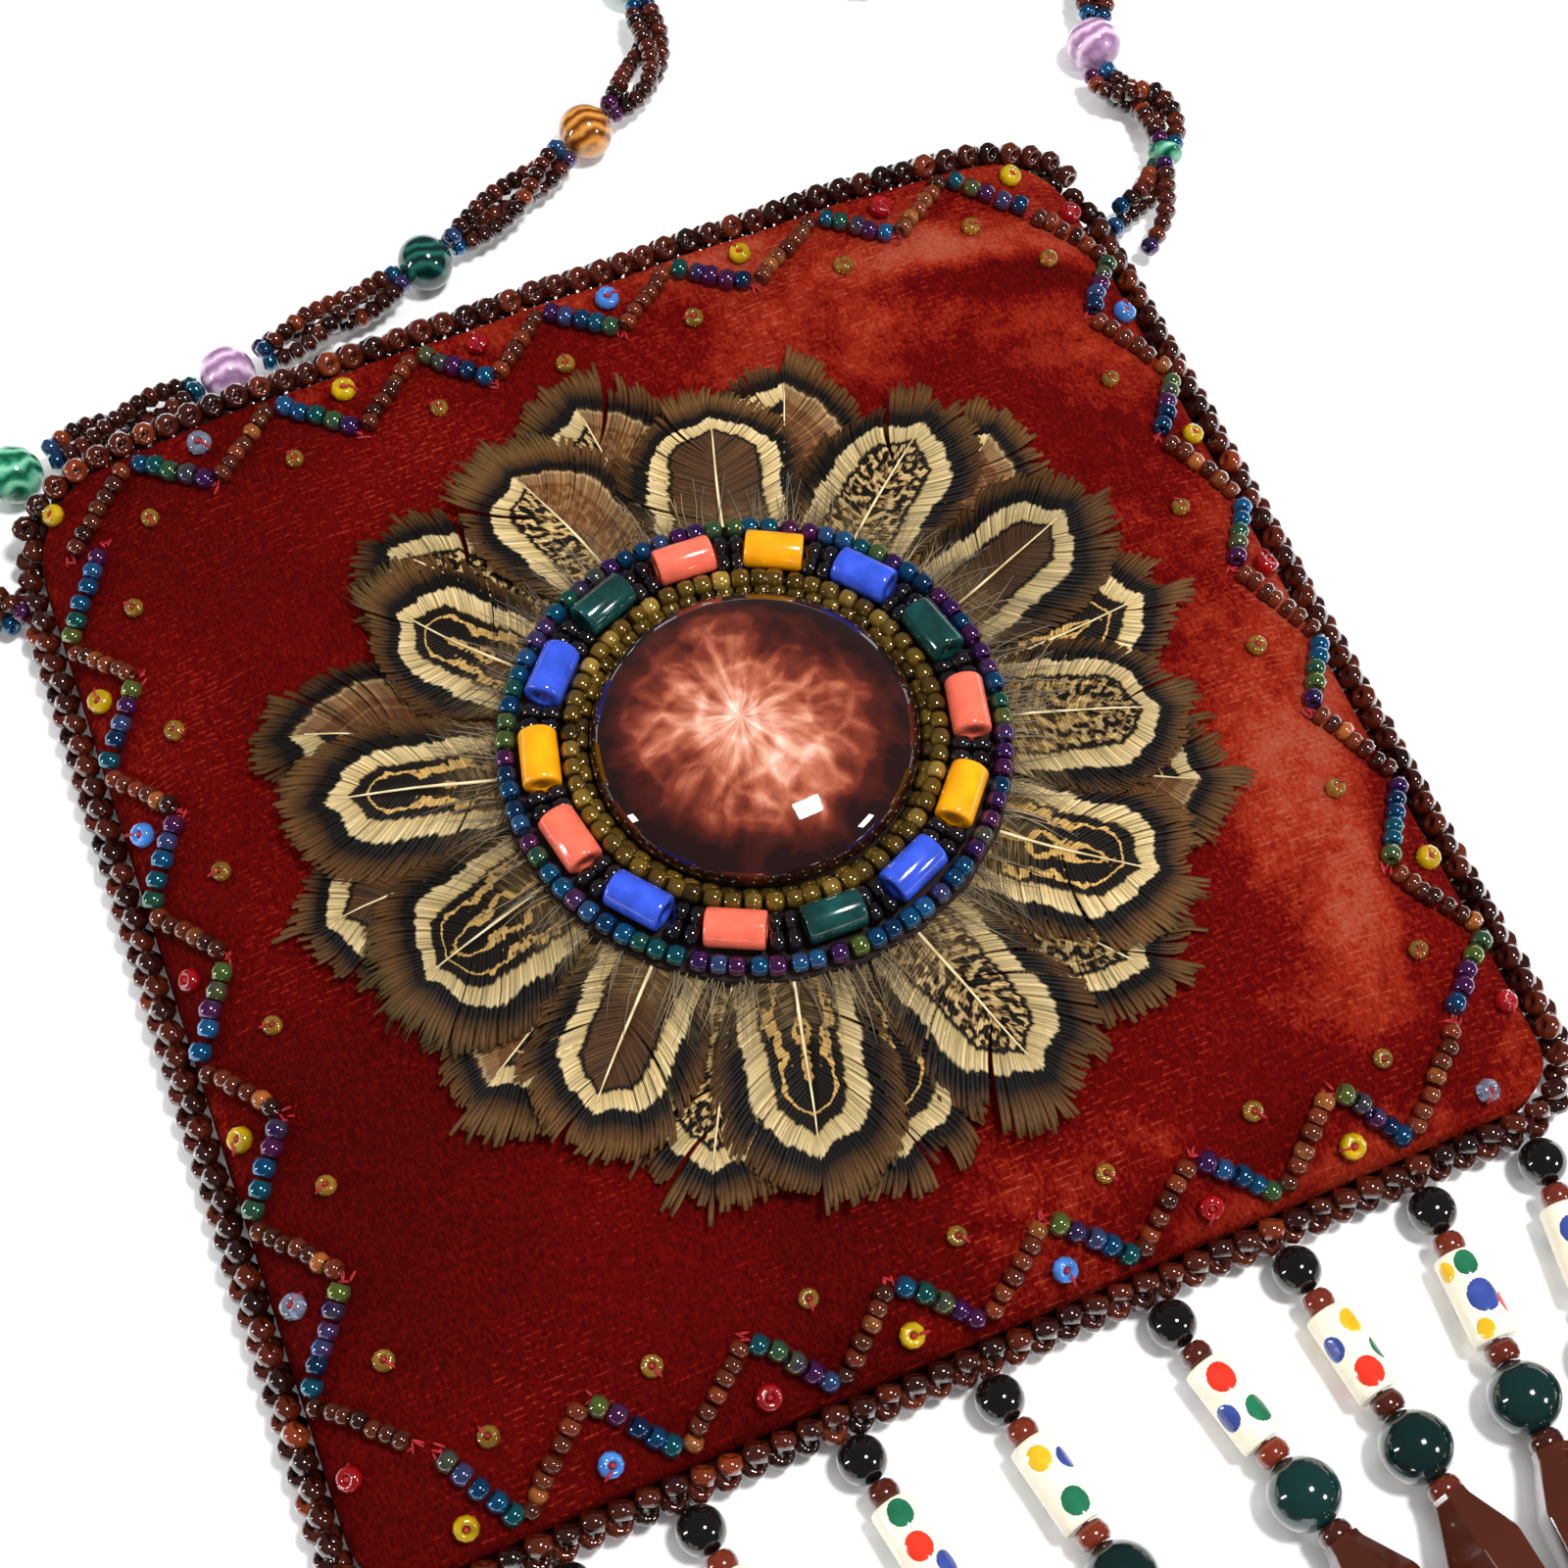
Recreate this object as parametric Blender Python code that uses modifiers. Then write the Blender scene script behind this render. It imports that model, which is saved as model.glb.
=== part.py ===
"""Beaded crossbody bag: a red velvet pouch lying on its back, edged with seed beads, with a feather
rosette round a glass cabochon, nine bead-strand tassels along the bottom and a beaded strap.

Metres, +Z up. The bag lies on z = 0 with its front panel up, its mouth towards +Y and its bottom
edge along X. The origin is the middle of its back.
"""

import math

import bmesh
import bpy
from mathutils import Matrix, Vector

# Driving dimensions of the bag
bag_width = 0.1524
bag_height = 0.1505
bag_lean = 0.0054
corner_radius = 0.007
puff_rise = 0.0099
puff_power = 5.0
mouth_flare = 0.06
panel_thickness = 0.0014
lining_thickness = 0.0004
clearance = 0.0003
back_turn_up = 0.012

# Seed beads
edge_bead_pitch = 0.0041
edging_radius = 0.0027
edging_waist = 0.0021
zigzag_radius = 0.00105

# Medallion, from its centre outwards
medallion_thickness = 0.0010
cabochon_radius = 0.0193
cabochon_rise = 0.0080
bezel_gap = 0.0010
gold_bead_radius = 0.0010
gold_bead_pitch = 0.0040
ring_gap = 0.0004
tube_bead_radius = 0.0023
tube_bead_length = 0.0070
tube_count = 14
tube_ring_phase = math.radians(80.4)
iris_bead_radius = 0.0011
iris_bead_pitch = 0.0028
medallion_edge = 0.0005

# Feathers, two layers of twelve
feathers_in_layer = 12
feather_root_reach = 0.0130
feather_tip_reach = 0.0585
feather_thickness = 0.0005
feather_arch = 0.0004
feather_tip_round = 0.0012
feather_half_widths = (0.0012, 0.0045, 0.0092, 0.0100, 0.0035)
feather_stations = (0.0, 0.36, 0.70, 0.88, 1.0)
lower_layer_lift = 0.0004
upper_layer_lift = 0.0016

# Zigzag of seed beads: teeth on each side, and how far in from the rim its corners lie
zigzag_teeth = {"top": 7, "bottom": 7, "left": 6, "right": 6}
zigzag_outer_inset = 0.0062
zigzag_inner_inset = 0.0118
zigzag_end_inset = 0.0155

# Fringe: each strand's share of the way from the middle to the rim, and its lean from straight down
fringe_shares = (-0.9524, -0.7619, -0.5565, -0.3007, -0.0776, 0.2068, 0.4259, 0.6748, 0.8789)
fringe_leans = (6.0, 8.0, 8.0, 8.0, 8.6, 10.3, 5.0, -4.7, -10.5)
fringe_slope = math.radians(3.0)
round_bead_radius = 0.0030
spacer_radius = 0.0019
spacer_length = 0.0026
tube_radius = 0.00265
tube_length = 0.0106
green_bead_radius = 0.0040
drop_radius = 0.0050
drop_length = 0.0190
thread_radius = 0.0010

# Strap: one beaded cord from corner to corner, its spare length coiled
strap_diameter = 0.0075
coil_centre = Vector((0.0855, 0.1580))
coil_turn_radius = 0.0410
coil_lift = 0.0013
tie_thickness = 0.0010
tie_length = 0.0070

# Derived places
rim_half_width = bag_width / 2 - edging_radius
rim_half_height = bag_height / 2 - edging_radius
seam_height = edging_radius + 0.0001
panel_inset = edging_radius + clearance
front_seam = seam_height + clearance
back_rim_top = seam_height - 2 * clearance
medallion_floor = front_seam + puff_rise + upper_layer_lift + 2 * feather_thickness + clearance
medallion_top = medallion_floor + medallion_thickness
gold_ring_radius = cabochon_radius + bezel_gap + gold_bead_radius
tube_ring_radius = gold_ring_radius + gold_bead_radius + ring_gap + tube_bead_radius
iris_ring_radius = tube_ring_radius + tube_bead_radius + ring_gap + iris_bead_radius
medallion_radius = iris_ring_radius + iris_bead_radius + medallion_edge

for old in list(bpy.data.objects):
    bpy.data.objects.remove(old, do_unlink=True)

bag_collection = bpy.data.collections.new("beaded_crossbody_bag")
bpy.context.scene.collection.children.link(bag_collection)


def srgb(code):
    """The linear colour of a hex code such as 7a1010."""
    parts = [int(code[i:i + 2], 16) / 255 for i in (0, 2, 4)]
    return [p / 12.92 if p <= 0.04045 else ((p + 0.055) / 1.055) ** 2.4 for p in parts] + [1.0]


def material(name, code, roughness, metallic=0.0):
    made = bpy.data.materials.new(name)
    made.use_nodes = True
    shader = made.node_tree.nodes["Principled BSDF"]
    shader.inputs["Base Color"].default_value = srgb(code)
    shader.inputs["Roughness"].default_value = roughness
    shader.inputs["Metallic"].default_value = metallic
    made.diffuse_color = srgb(code)
    return made


velvet = material("red_velvet", "6f100c", 0.85)
lining_cloth = material("lining_satin", "3a1512", 0.5)
brown_glass = material("brown_glass_beads", "2a1310", 0.12)
iris_glass = material("iris_glass_beads", "1c3350", 0.15)
amber_glass = material("gold_lined_amber_beads", "b26a1c", 0.15)
cabochon_glass = material("cabochon_glass", "5c241d", 0.05)
felt = material("backing_felt", "231412", 0.9)
ceramic = material("glazed_ceramic", "b5452e", 0.2)
feather_brown = material("pheasant_feather", "5a3a1e", 0.7)
bead_strand = material("bead_strand", "e6dfca", 0.2)
strap_beads = material("strap_beads", "2d1814", 0.2)
tie_thread = material("tie_thread", "2b1512", 0.8)


def add_object(name, data, surface):
    made = bpy.data.objects.new(name, data)
    data.materials.append(surface)
    bag_collection.objects.link(made)
    return made


def lean_at(y):
    """How far the bag's middle line stands off x = 0 at this height."""
    return bag_lean * y / bag_height


corner_signs = ((1, -1), (1, 1), (-1, 1), (-1, -1))


def outline(inset, per_side=6, per_corner=2):
    """Points round the rim, moved inwards, in the same order and number for every inset."""
    radius = corner_radius + 0.3 * inset
    half_width = rim_half_width - inset - radius
    half_height = rim_half_height - inset - radius
    arcs = []
    for turn, (sign_x, sign_y) in enumerate(corner_signs):
        middle = Vector((sign_x * half_width, sign_y * half_height))
        angles = [math.radians(90) * (turn - 1 + step / per_corner) for step in range(per_corner + 1)]
        arcs.append([middle + radius * Vector((math.cos(a), math.sin(a))) for a in angles])
    points = []
    for arc, following in zip(arcs, arcs[1:] + arcs[:1]):
        points += arc
        points += [arc[-1].lerp(following[0], step / per_side) for step in range(1, per_side)]
    return [Vector((p.x + lean_at(p.y), p.y)) for p in points]


def puff(x, y):
    """How high the front panel stands above its seam: steep at the sides and bottom, open at the mouth."""
    across = min(abs(x - lean_at(y)) / (rim_half_width - panel_inset), 1.0)
    up = max(min(y / (rim_half_height - panel_inset), 1.0), -1.0)
    side = math.sqrt(1 - across ** puff_power)
    below = math.sqrt(1 - (-min(up, 0.0)) ** puff_power)
    mouth = 1 + mouth_flare * max(up, 0.0) ** 4
    return puff_rise * side * below * mouth


def front_point(x, y, lift=0.0):
    """The point this far off the front panel's outer face, along its normal."""
    step = 0.0004
    slope_x = (puff(x + step, y) - puff(x - step, y)) / (2 * step)
    slope_y = (puff(x, y + step) - puff(x, y - step)) / (2 * step)
    normal = Vector((-slope_x, -slope_y, 1.0)).normalized()
    return Vector((x, y, front_seam + puff(x, y))) + normal * lift


def back_height(inset):
    """The back panel's underside: flat on the table, turned up to the seam near the rim."""
    share = max(0.0, 1 - (inset - panel_inset) / back_turn_up)
    return (back_rim_top - panel_thickness) * share ** 2


def mesh_from_rings(name, rings, centre=None):
    """An open surface through closed rings of points, finished with a fan to a centre point."""
    shape = bmesh.new()
    rows = [[shape.verts.new(p) for p in ring] for ring in rings]
    for row, following in zip(rows, rows[1:]):
        for i in range(len(row)):
            j = (i + 1) % len(row)
            shape.faces.new((row[i], row[j], following[j], following[i]))
    if centre is not None:
        middle = shape.verts.new(centre)
        last = rows[-1]
        for i in range(len(last)):
            shape.faces.new((last[i], last[(i + 1) % len(last)], middle))
    mesh = bpy.data.meshes.new(name)
    shape.to_mesh(mesh)
    shape.free()
    mesh.shade_smooth()
    return mesh


def give_thickness(made, thickness, offset=-1.0):
    wall = made.modifiers.new("thickness", "SOLIDIFY")
    wall.thickness = thickness
    wall.offset = offset


def add_front_panel():
    insets = (panel_inset, 0.0038, 0.0060, 0.0110, 0.0200, 0.0380)
    rings = [[front_point(p.x, p.y) for p in outline(inset)] for inset in insets]
    mesh = mesh_from_rings("front_panel", rings, front_point(0.0, 0.0))
    give_thickness(add_object("front_panel", mesh, velvet), panel_thickness)


def add_back_panel():
    insets = (panel_inset, 0.0065, 0.0105, panel_inset + back_turn_up)
    rings = [[Vector((p.x, p.y, back_height(inset))) for p in outline(inset)] for inset in insets]
    mesh = mesh_from_rings("back_panel", rings, Vector((0.0, 0.0, 0.0)))
    give_thickness(add_object("back_panel", mesh, velvet), panel_thickness, offset=1.0)


def add_lining():
    """A thin pouch inside the two panels, joined to itself at the sides and bottom, open at the mouth."""
    below_front = -(panel_thickness + 0.0007)
    above_back = panel_thickness + 0.0004
    front_insets = (0.0110, 0.0200, 0.0380)
    back_insets = (0.0110,)
    shape = bmesh.new()

    def add_rings(insets, height, centre_height):
        rows = [[shape.verts.new(height(p, inset)) for p in outline(inset)] for inset in insets]
        for row, following in zip(rows, rows[1:]):
            for i in range(len(row)):
                j = (i + 1) % len(row)
                shape.faces.new((row[i], row[j], following[j], following[i]))
        middle = shape.verts.new(centre_height)
        last = rows[-1]
        for i in range(len(last)):
            shape.faces.new((last[i], last[(i + 1) % len(last)], middle))
        return rows[0]

    front_edge = add_rings(
        front_insets,
        lambda p, inset: front_point(p.x, p.y, below_front),
        front_point(0.0, 0.0, below_front),
    )
    back_edge = add_rings(
        back_insets,
        lambda p, inset: Vector((p.x, p.y, back_height(inset) + above_back)),
        Vector((0.0, 0.0, above_back)),
    )
    mouth_line = min(rim_half_height - front_insets[0] - 0.0005, max(v.co.y for v in back_edge) - 0.0005)
    for i in range(len(front_edge)):
        j = (i + 1) % len(front_edge)
        at_mouth = back_edge[i].co.y > mouth_line and back_edge[j].co.y > mouth_line
        if not at_mouth:
            shape.faces.new((back_edge[i], back_edge[j], front_edge[j], front_edge[i]))
    bmesh.ops.recalc_face_normals(shape, faces=shape.faces)
    mesh = bpy.data.meshes.new("lining_pouch")
    shape.to_mesh(mesh)
    shape.free()
    give_thickness(add_object("lining_pouch", mesh, lining_cloth), lining_thickness)


def along(points, pitch, closed=False):
    """Points at an even pitch along a line of points."""
    if closed:
        points = points + [points[0]]
    lengths = [(b - a).length for a, b in zip(points, points[1:])]
    total = sum(lengths)
    count = max(2, round(total / pitch))
    places = [total * i / count for i in range(count if closed else count + 1)]
    found = []
    index = 0
    passed = 0.0
    for place in places:
        while index < len(lengths) - 1 and place > passed + lengths[index]:
            passed += lengths[index]
            index += 1
        share = (place - passed) / lengths[index]
        found.append(points[index].lerp(points[index + 1], min(share, 1.0)))
    return found


def add_string(name, points, radii, surface, resolution=0, cyclic=False):
    """A beaded cord: a poly curve whose thickness swells and narrows from point to point."""
    curve = bpy.data.curves.new(name, "CURVE")
    curve.dimensions = "3D"
    curve.bevel_depth = 1.0
    curve.bevel_resolution = resolution
    curve.use_fill_caps = True
    spline = curve.splines.new("POLY")
    spline.points.add(len(points) - 1)
    spline.use_cyclic_u = cyclic
    for point, place, radius in zip(spline.points, points, radii):
        point.co = (*place, 1.0)
        point.radius = radius
    return add_object(name, curve, surface)


def add_edging(name, line):
    """A rope of whip-stitched beads: it swells at each bead and narrows between two."""
    places = along(line, edge_bead_pitch / 2)
    if len(places) % 2 == 0:
        places = along(line, (edge_bead_pitch / 2) * (len(places) - 1) / (len(places) - 2))
    radii = [edging_radius if i % 2 else edging_waist for i in range(len(places))]
    add_string(name, places, radii, brown_glass)


def add_edgings():
    rim = [Vector((p.x, p.y, seam_height)) for p in outline(0.0, per_side=24, per_corner=6)]
    rim_y = [p.y for p in rim]
    top = max(rim_y) - corner_radius
    bottom = min(rim_y) + corner_radius
    end_gap = edging_radius + clearance

    def between(low, high, side):
        found = [p for p in rim if low <= p.y <= high and side * (p.x - lean_at(p.y)) > 0]
        return sorted(found, key=lambda p: p.y)

    add_edging("edging_left", between(bottom + end_gap / 2, top - end_gap / 2, -1))
    add_edging("edging_right", between(bottom + end_gap / 2, top - end_gap / 2, 1))
    low = sorted((p for p in rim if p.y < bottom - end_gap / 2), key=lambda p: p.x)
    high = sorted((p for p in rim if p.y > top + end_gap / 2), key=lambda p: p.x)
    add_edging("edging_bottom", low)
    add_edging("mouth_edging_back", high)
    lip = rim_half_height
    reach = 0.90 * (rim_half_width - panel_inset)
    count = 30
    places = []
    for i in range(count + 1):
        x = lean_at(lip) + reach * (2 * i / count - 1)
        edge = front_point(x, lip - panel_inset, -panel_thickness / 2)
        places.append(Vector((x, lip, edge.z)))
    add_edging("mouth_edging_front", places)


def zigzag_line(side):
    """The zigzag's corners along one side of the front panel."""
    teeth = zigzag_teeth[side]
    upright = side in ("left", "right")
    half_run = (rim_half_height if upright else rim_half_width) - zigzag_end_inset
    half_across = rim_half_width if upright else rim_half_height
    sign = 1 if side in ("top", "right") else -1
    corners = []
    for i in range(2 * teeth + 1):
        run = half_run * (i / teeth - 1)
        inset = zigzag_outer_inset if i % 2 else zigzag_inner_inset
        across = sign * (half_across - inset)
        x, y = (across, run) if upright else (run, across)
        corners.append(Vector((x + lean_at(y), y, 0.0)))
    return corners


def add_zigzag(side):
    corners = zigzag_line(side)
    pieces_in_leg = 2
    flat = []
    for a, b in zip(corners, corners[1:]):
        flat += [a.lerp(b, i / pieces_in_leg) for i in range(pieces_in_leg)]
    flat.append(corners[-1])
    lift = clearance + zigzag_radius
    places = [front_point(p.x, p.y, lift) for p in flat]
    add_string(f"zigzag_{side}", places, [zigzag_radius] * len(places), iris_glass)


def turned(name, profile, steps, surface, smooth=True):
    """A piece turned about its own Z axis from (radius, height) points listed from top to bottom."""
    mesh = bpy.data.meshes.new(name)
    mesh.from_pydata([(r, 0.0, z) for r, z in profile], [(i, i + 1) for i in range(len(profile) - 1)], [])
    made = add_object(name, mesh, surface)
    screw = made.modifiers.new("turn", "SCREW")
    screw.steps = steps
    screw.render_steps = steps
    screw.use_merge_vertices = True
    screw.merge_threshold = 0.00001
    screw.use_smooth_shade = smooth
    return made


def add_medallion():
    hub_radius = 0.0105
    hub_floor = front_seam + puff_rise + clearance
    turned(
        "medallion_backing",
        [
            (0.0, medallion_top),
            (medallion_radius, medallion_top),
            (medallion_radius, medallion_floor),
            (hub_radius, medallion_floor),
            (hub_radius, hub_floor),
            (0.0, hub_floor),
        ],
        24,
        felt,
    )
    base = medallion_top + clearance
    wall = 0.0015
    dome = [(0.0, base + cabochon_rise)]
    arc_steps = 5
    for i in range(1, arc_steps + 1):
        angle = math.radians(90) * i / arc_steps
        height = wall + (cabochon_rise - wall) * math.cos(angle)
        dome.append((cabochon_radius * math.sin(angle), base + height))
    turned("glass_cabochon", dome + [(cabochon_radius, base), (0.0, base)], 20, cabochon_glass)


def circle_points(radius, height, count, phase=0.0):
    angles = [phase + 2 * math.pi * i / count for i in range(count)]
    return [Vector((radius * math.cos(a), radius * math.sin(a), height)) for a in angles]


def add_bead_ring(name, ring_radius, bead_radius, bead_pitch, surface):
    beads = round(2 * math.pi * ring_radius / bead_pitch)
    places = circle_points(ring_radius, medallion_top + clearance + bead_radius, 2 * beads)
    radii = [bead_radius, 0.62 * bead_radius] * beads
    add_string(name, places, radii, surface, cyclic=True)


def add_tube_ring():
    """Fourteen glazed tubes with a pair of small black beads in each gap, strung in a circle."""
    places = []
    radii = []
    height = medallion_top + clearance + tube_bead_radius
    pitch_angle = 2 * math.pi / tube_count
    half_tube = tube_bead_length / 2 / tube_ring_radius
    small = 0.0011
    neck = 0.0007
    gap_angle = pitch_angle - 2 * half_tube
    steps = (
        (-half_tube - 0.004, neck),
        (-half_tube, tube_bead_radius),
        (half_tube, tube_bead_radius),
        (half_tube + 0.004, neck),
        (half_tube + gap_angle * 0.27, small),
        (half_tube + gap_angle * 0.5, neck),
        (half_tube + gap_angle * 0.73, small),
    )
    for tube in range(tube_count):
        middle = tube_ring_phase - tube * pitch_angle
        for offset, radius in steps:
            angle = middle - offset
            places.append(Vector((math.cos(angle), math.sin(angle), 0)) * tube_ring_radius)
            places[-1].z = height
            radii.append(radius)
    add_string("ceramic_tube_ring", places, radii, ceramic, resolution=1, cyclic=True)


def add_feather(number, angle, lift):
    """A body feather laid on the panel: narrow at its root, broad at its tip, arched on its quill."""
    outward = Vector((math.cos(angle), math.sin(angle), 0.0))
    sideways = Vector((-math.sin(angle), math.cos(angle), 0.0))
    shape = bmesh.new()
    rows = []
    for station, half_width in zip(feather_stations, feather_half_widths):
        reach = feather_root_reach + station * (feather_tip_reach - feather_root_reach)
        row = []
        for side in (-1, 0, 1):
            rounded = feather_tip_round if side and station > 0.8 else 0.0
            flat = outward * (reach - rounded) + sideways * side * half_width
            rise = lift + (feather_arch if side == 0 else 0.0)
            row.append(shape.verts.new(front_point(flat.x, flat.y, rise)))
        rows.append(row)
    for row, following in zip(rows, rows[1:]):
        for i in range(2):
            shape.faces.new((row[i], row[i + 1], following[i + 1], following[i]))
    bmesh.ops.recalc_face_normals(shape, faces=shape.faces)
    if sum(face.normal.z for face in shape.faces) < 0:
        bmesh.ops.reverse_faces(shape, faces=shape.faces)
    name = f"feather_{number:02d}"
    mesh = bpy.data.meshes.new(name)
    shape.to_mesh(mesh)
    shape.free()
    mesh.shade_smooth()
    give_thickness(add_object(name, mesh, feather_brown), feather_thickness, offset=1.0)


def add_feathers():
    step = 2 * math.pi / feathers_in_layer
    for i in range(feathers_in_layer):
        add_feather(2 * i + 1, i * step, lower_layer_lift)
        add_feather(2 * i + 2, (i + 0.5) * step, upper_layer_lift)


def strand_profile():
    """(distance from the hinge, radius) along one fringe strand, bead after bead."""
    place = edging_radius + clearance
    points = [(place, 0.0), (place, thread_radius)]
    place += round_bead_radius
    points.append((place, round_bead_radius))
    place += round_bead_radius

    def spacer():
        nonlocal place
        points.append((place, thread_radius))
        points.append((place + spacer_length / 2, spacer_radius))
        place += spacer_length
        points.append((place, thread_radius))

    spacer()
    points.append((place, tube_radius))
    place += tube_length
    points.append((place, tube_radius))
    spacer()
    place += green_bead_radius
    points.append((place, green_bead_radius))
    place += green_bead_radius
    spacer()
    points.append((place, 0.45 * drop_radius))
    points.append((place + 0.31 * drop_length, drop_radius))
    points.append((place + 0.80 * drop_length, 0.92 * drop_radius))
    place += drop_length
    points.append((place, 0.50 * drop_radius))
    points.append((place, thread_radius))
    points.append((place + spacer_length / 2, 0.8 * spacer_radius))
    points.append((place + spacer_length, 0.0))
    return points


def add_fringe():
    profile = [(radius, -distance) for distance, radius in strand_profile()]
    for number, (share, lean) in enumerate(zip(fringe_shares, fringe_leans), start=1):
        strand = turned(f"fringe_strand_{number}", profile, 6, bead_strand)
        strand.location = (share * rim_half_width, -rim_half_height, seam_height)
        pointing = Matrix.Rotation(math.radians(lean), 4, "Z") @ Matrix.Rotation(-math.pi / 2, 4, "X")
        tipped = Matrix.Rotation(-fringe_slope, 4, "X")
        strand.rotation_euler = (tipped @ pointing).to_euler()


def smooth_line(points, pitch):
    """A smooth curve through hand-chosen points, as an even row of points."""
    knots = [points[0] * 2 - points[1]] + points + [points[-1] * 2 - points[-2]]
    dense = []
    for a, b, c, d in zip(knots, knots[1:], knots[2:], knots[3:]):
        for i in range(16):
            t = i / 16
            bend = (2 * a - 5 * b + 4 * c - d) * t ** 2
            twist = (3 * b - a - 3 * c + d) * t ** 3
            dense.append(0.5 * (2 * b + (c - a) * t + bend + twist))
    dense.append(points[-1])
    return along(dense, pitch)


def add_strap():
    low = strap_diameter / 2 + 0.0001
    left_route = [
        Vector((-0.0778, 0.0590, low)),
        Vector((-0.0786, 0.0700, low)),
        Vector((-0.0745, 0.0790, low)),
        Vector((-0.0640, 0.0818, low)),
        Vector((-0.0410, 0.0848, low)),
        Vector((-0.0095, 0.0920, low)),
        Vector((0.0190, 0.1047, low)),
        Vector((0.0340, 0.1185, low)),
        Vector((0.0383, 0.1358, low)),
    ]
    right_route = [
        Vector((0.0822, 0.0590, low)),
        Vector((0.0905, 0.0680, low)),
        Vector((0.0942, 0.0780, low)),
        Vector((0.0915, 0.0920, low)),
        Vector((0.0946, 0.1092, low)),
    ]
    for name, route in (("strap_left", left_route), ("strap_right", right_route)):
        places = smooth_line(route, 0.0085)
        add_string(name, places, [strap_diameter / 2] * len(places), strap_beads, resolution=2)
    bundle = strap_diameter
    bevel = 0.35 * bundle
    inner = coil_turn_radius - bundle
    outer = coil_turn_radius + bundle
    foot = coil_lift
    head = coil_lift + 2 * bundle
    section = [
        (inner + bevel, head),
        (outer - bevel, head),
        (outer, head - bevel),
        (outer, foot + bevel),
        (outer - bevel, foot),
        (inner + bevel, foot),
        (inner, foot + bevel),
        (inner, head - bevel),
        (inner + bevel, head),
    ]
    coil = turned("strap_coil", section, 24, strap_beads)
    coil.location = (*coil_centre, 0.0)


def add_tie():
    """A flat band of thread round one side of the coil."""
    half_across = strap_diameter + 2 * clearance
    half_tall = strap_diameter + clearance
    signs = ((-1, 1), (1, 1), (1, -1), (-1, -1))
    shape = bmesh.new()
    rings = []
    for shift in (-tie_length / 2, tie_length / 2):
        corners = [(side * half_across, shift, rise * half_tall) for side, rise in signs]
        rings.append([shape.verts.new(corner) for corner in corners])
    for i in range(len(signs)):
        j = (i + 1) % len(signs)
        shape.faces.new((rings[0][i], rings[0][j], rings[1][j], rings[1][i]))
    bmesh.ops.recalc_face_normals(shape, faces=shape.faces)
    mesh = bpy.data.meshes.new("strap_tie")
    shape.to_mesh(mesh)
    shape.free()
    tie = add_object("strap_tie", mesh, tie_thread)
    give_thickness(tie, tie_thickness, offset=1.0)
    tie.rotation_euler.z = math.radians(90)
    tie.location = (coil_centre.x, coil_centre.y + coil_turn_radius, coil_lift + strap_diameter)


add_front_panel()
add_back_panel()
add_lining()
add_edgings()
for zigzag_side in zigzag_teeth:
    add_zigzag(zigzag_side)
add_medallion()
add_bead_ring("gold_bead_ring", gold_ring_radius, gold_bead_radius, gold_bead_pitch, amber_glass)
add_tube_ring()
add_bead_ring("iris_bead_ring", iris_ring_radius, iris_bead_radius, iris_bead_pitch, iris_glass)
add_feathers()
add_fringe()
add_strap()
add_tie()
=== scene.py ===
"""Beaded crossbody bag: red velvet, seed beads, a pheasant feather rosette and a glass cabochon.

Run as a script in Blender. Metres, +Z up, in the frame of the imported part: the bag lies on its back,
its front panel up, its mouth towards +Y. Sizes of cloth and beads are in metres throughout.
"""

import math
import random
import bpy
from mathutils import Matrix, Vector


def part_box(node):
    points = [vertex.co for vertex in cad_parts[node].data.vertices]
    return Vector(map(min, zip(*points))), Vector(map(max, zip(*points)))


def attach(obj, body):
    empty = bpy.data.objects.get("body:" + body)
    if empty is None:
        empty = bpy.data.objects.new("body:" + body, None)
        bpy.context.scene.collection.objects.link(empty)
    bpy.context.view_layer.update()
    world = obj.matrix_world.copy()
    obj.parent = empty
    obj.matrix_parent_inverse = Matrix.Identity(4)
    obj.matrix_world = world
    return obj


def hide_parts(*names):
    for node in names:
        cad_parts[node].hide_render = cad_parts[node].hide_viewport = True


bl_info = {
    "name": "Beaded crossbody bag",
    "version": (1, 0, 0),
    "blender": (4, 5, 0),
    "location": "3D View > Sidebar > Bag",
    "description": "Builds a beaded velvet bag piece by piece",
    "category": "Add Mesh",
}

import bpy
import numpy as np
from mathutils import Matrix, Vector

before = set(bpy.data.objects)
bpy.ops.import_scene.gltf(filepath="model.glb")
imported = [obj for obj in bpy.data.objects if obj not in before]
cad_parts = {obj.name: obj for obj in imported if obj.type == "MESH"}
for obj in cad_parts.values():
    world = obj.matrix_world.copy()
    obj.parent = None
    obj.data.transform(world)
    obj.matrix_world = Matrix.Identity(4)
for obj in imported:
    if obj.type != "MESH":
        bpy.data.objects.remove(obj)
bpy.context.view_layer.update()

ROOT = "bag"

# The pouch, as its pattern was cut and sewn
HALF_WIDTH = 0.0735
HALF_HEIGHT = 0.07255
BAG_HEIGHT = 0.1505
LEAN = 0.0054
LOWER_CORNER = 0.0075
UPPER_CORNER = 0.0105
SEAM = 0.0031
PUFF = 0.0099
PUFF_POWER = 5.0
MOUTH_FLARE = 0.06
CLOTH_EDGE = 0.0006

# The medallion: heights follow the backing disc in the frame
MEDALLION_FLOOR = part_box("medallion_backing")[1][2]
TUBE_COUNT = 14

# The camera of the photograph
CAMERA_PLACE = (-0.0586, -0.1421, 0.2987)
CAMERA_TURN = (27.758, -0.076, -23.531)
CAMERA_LENS = 63.0


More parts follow.
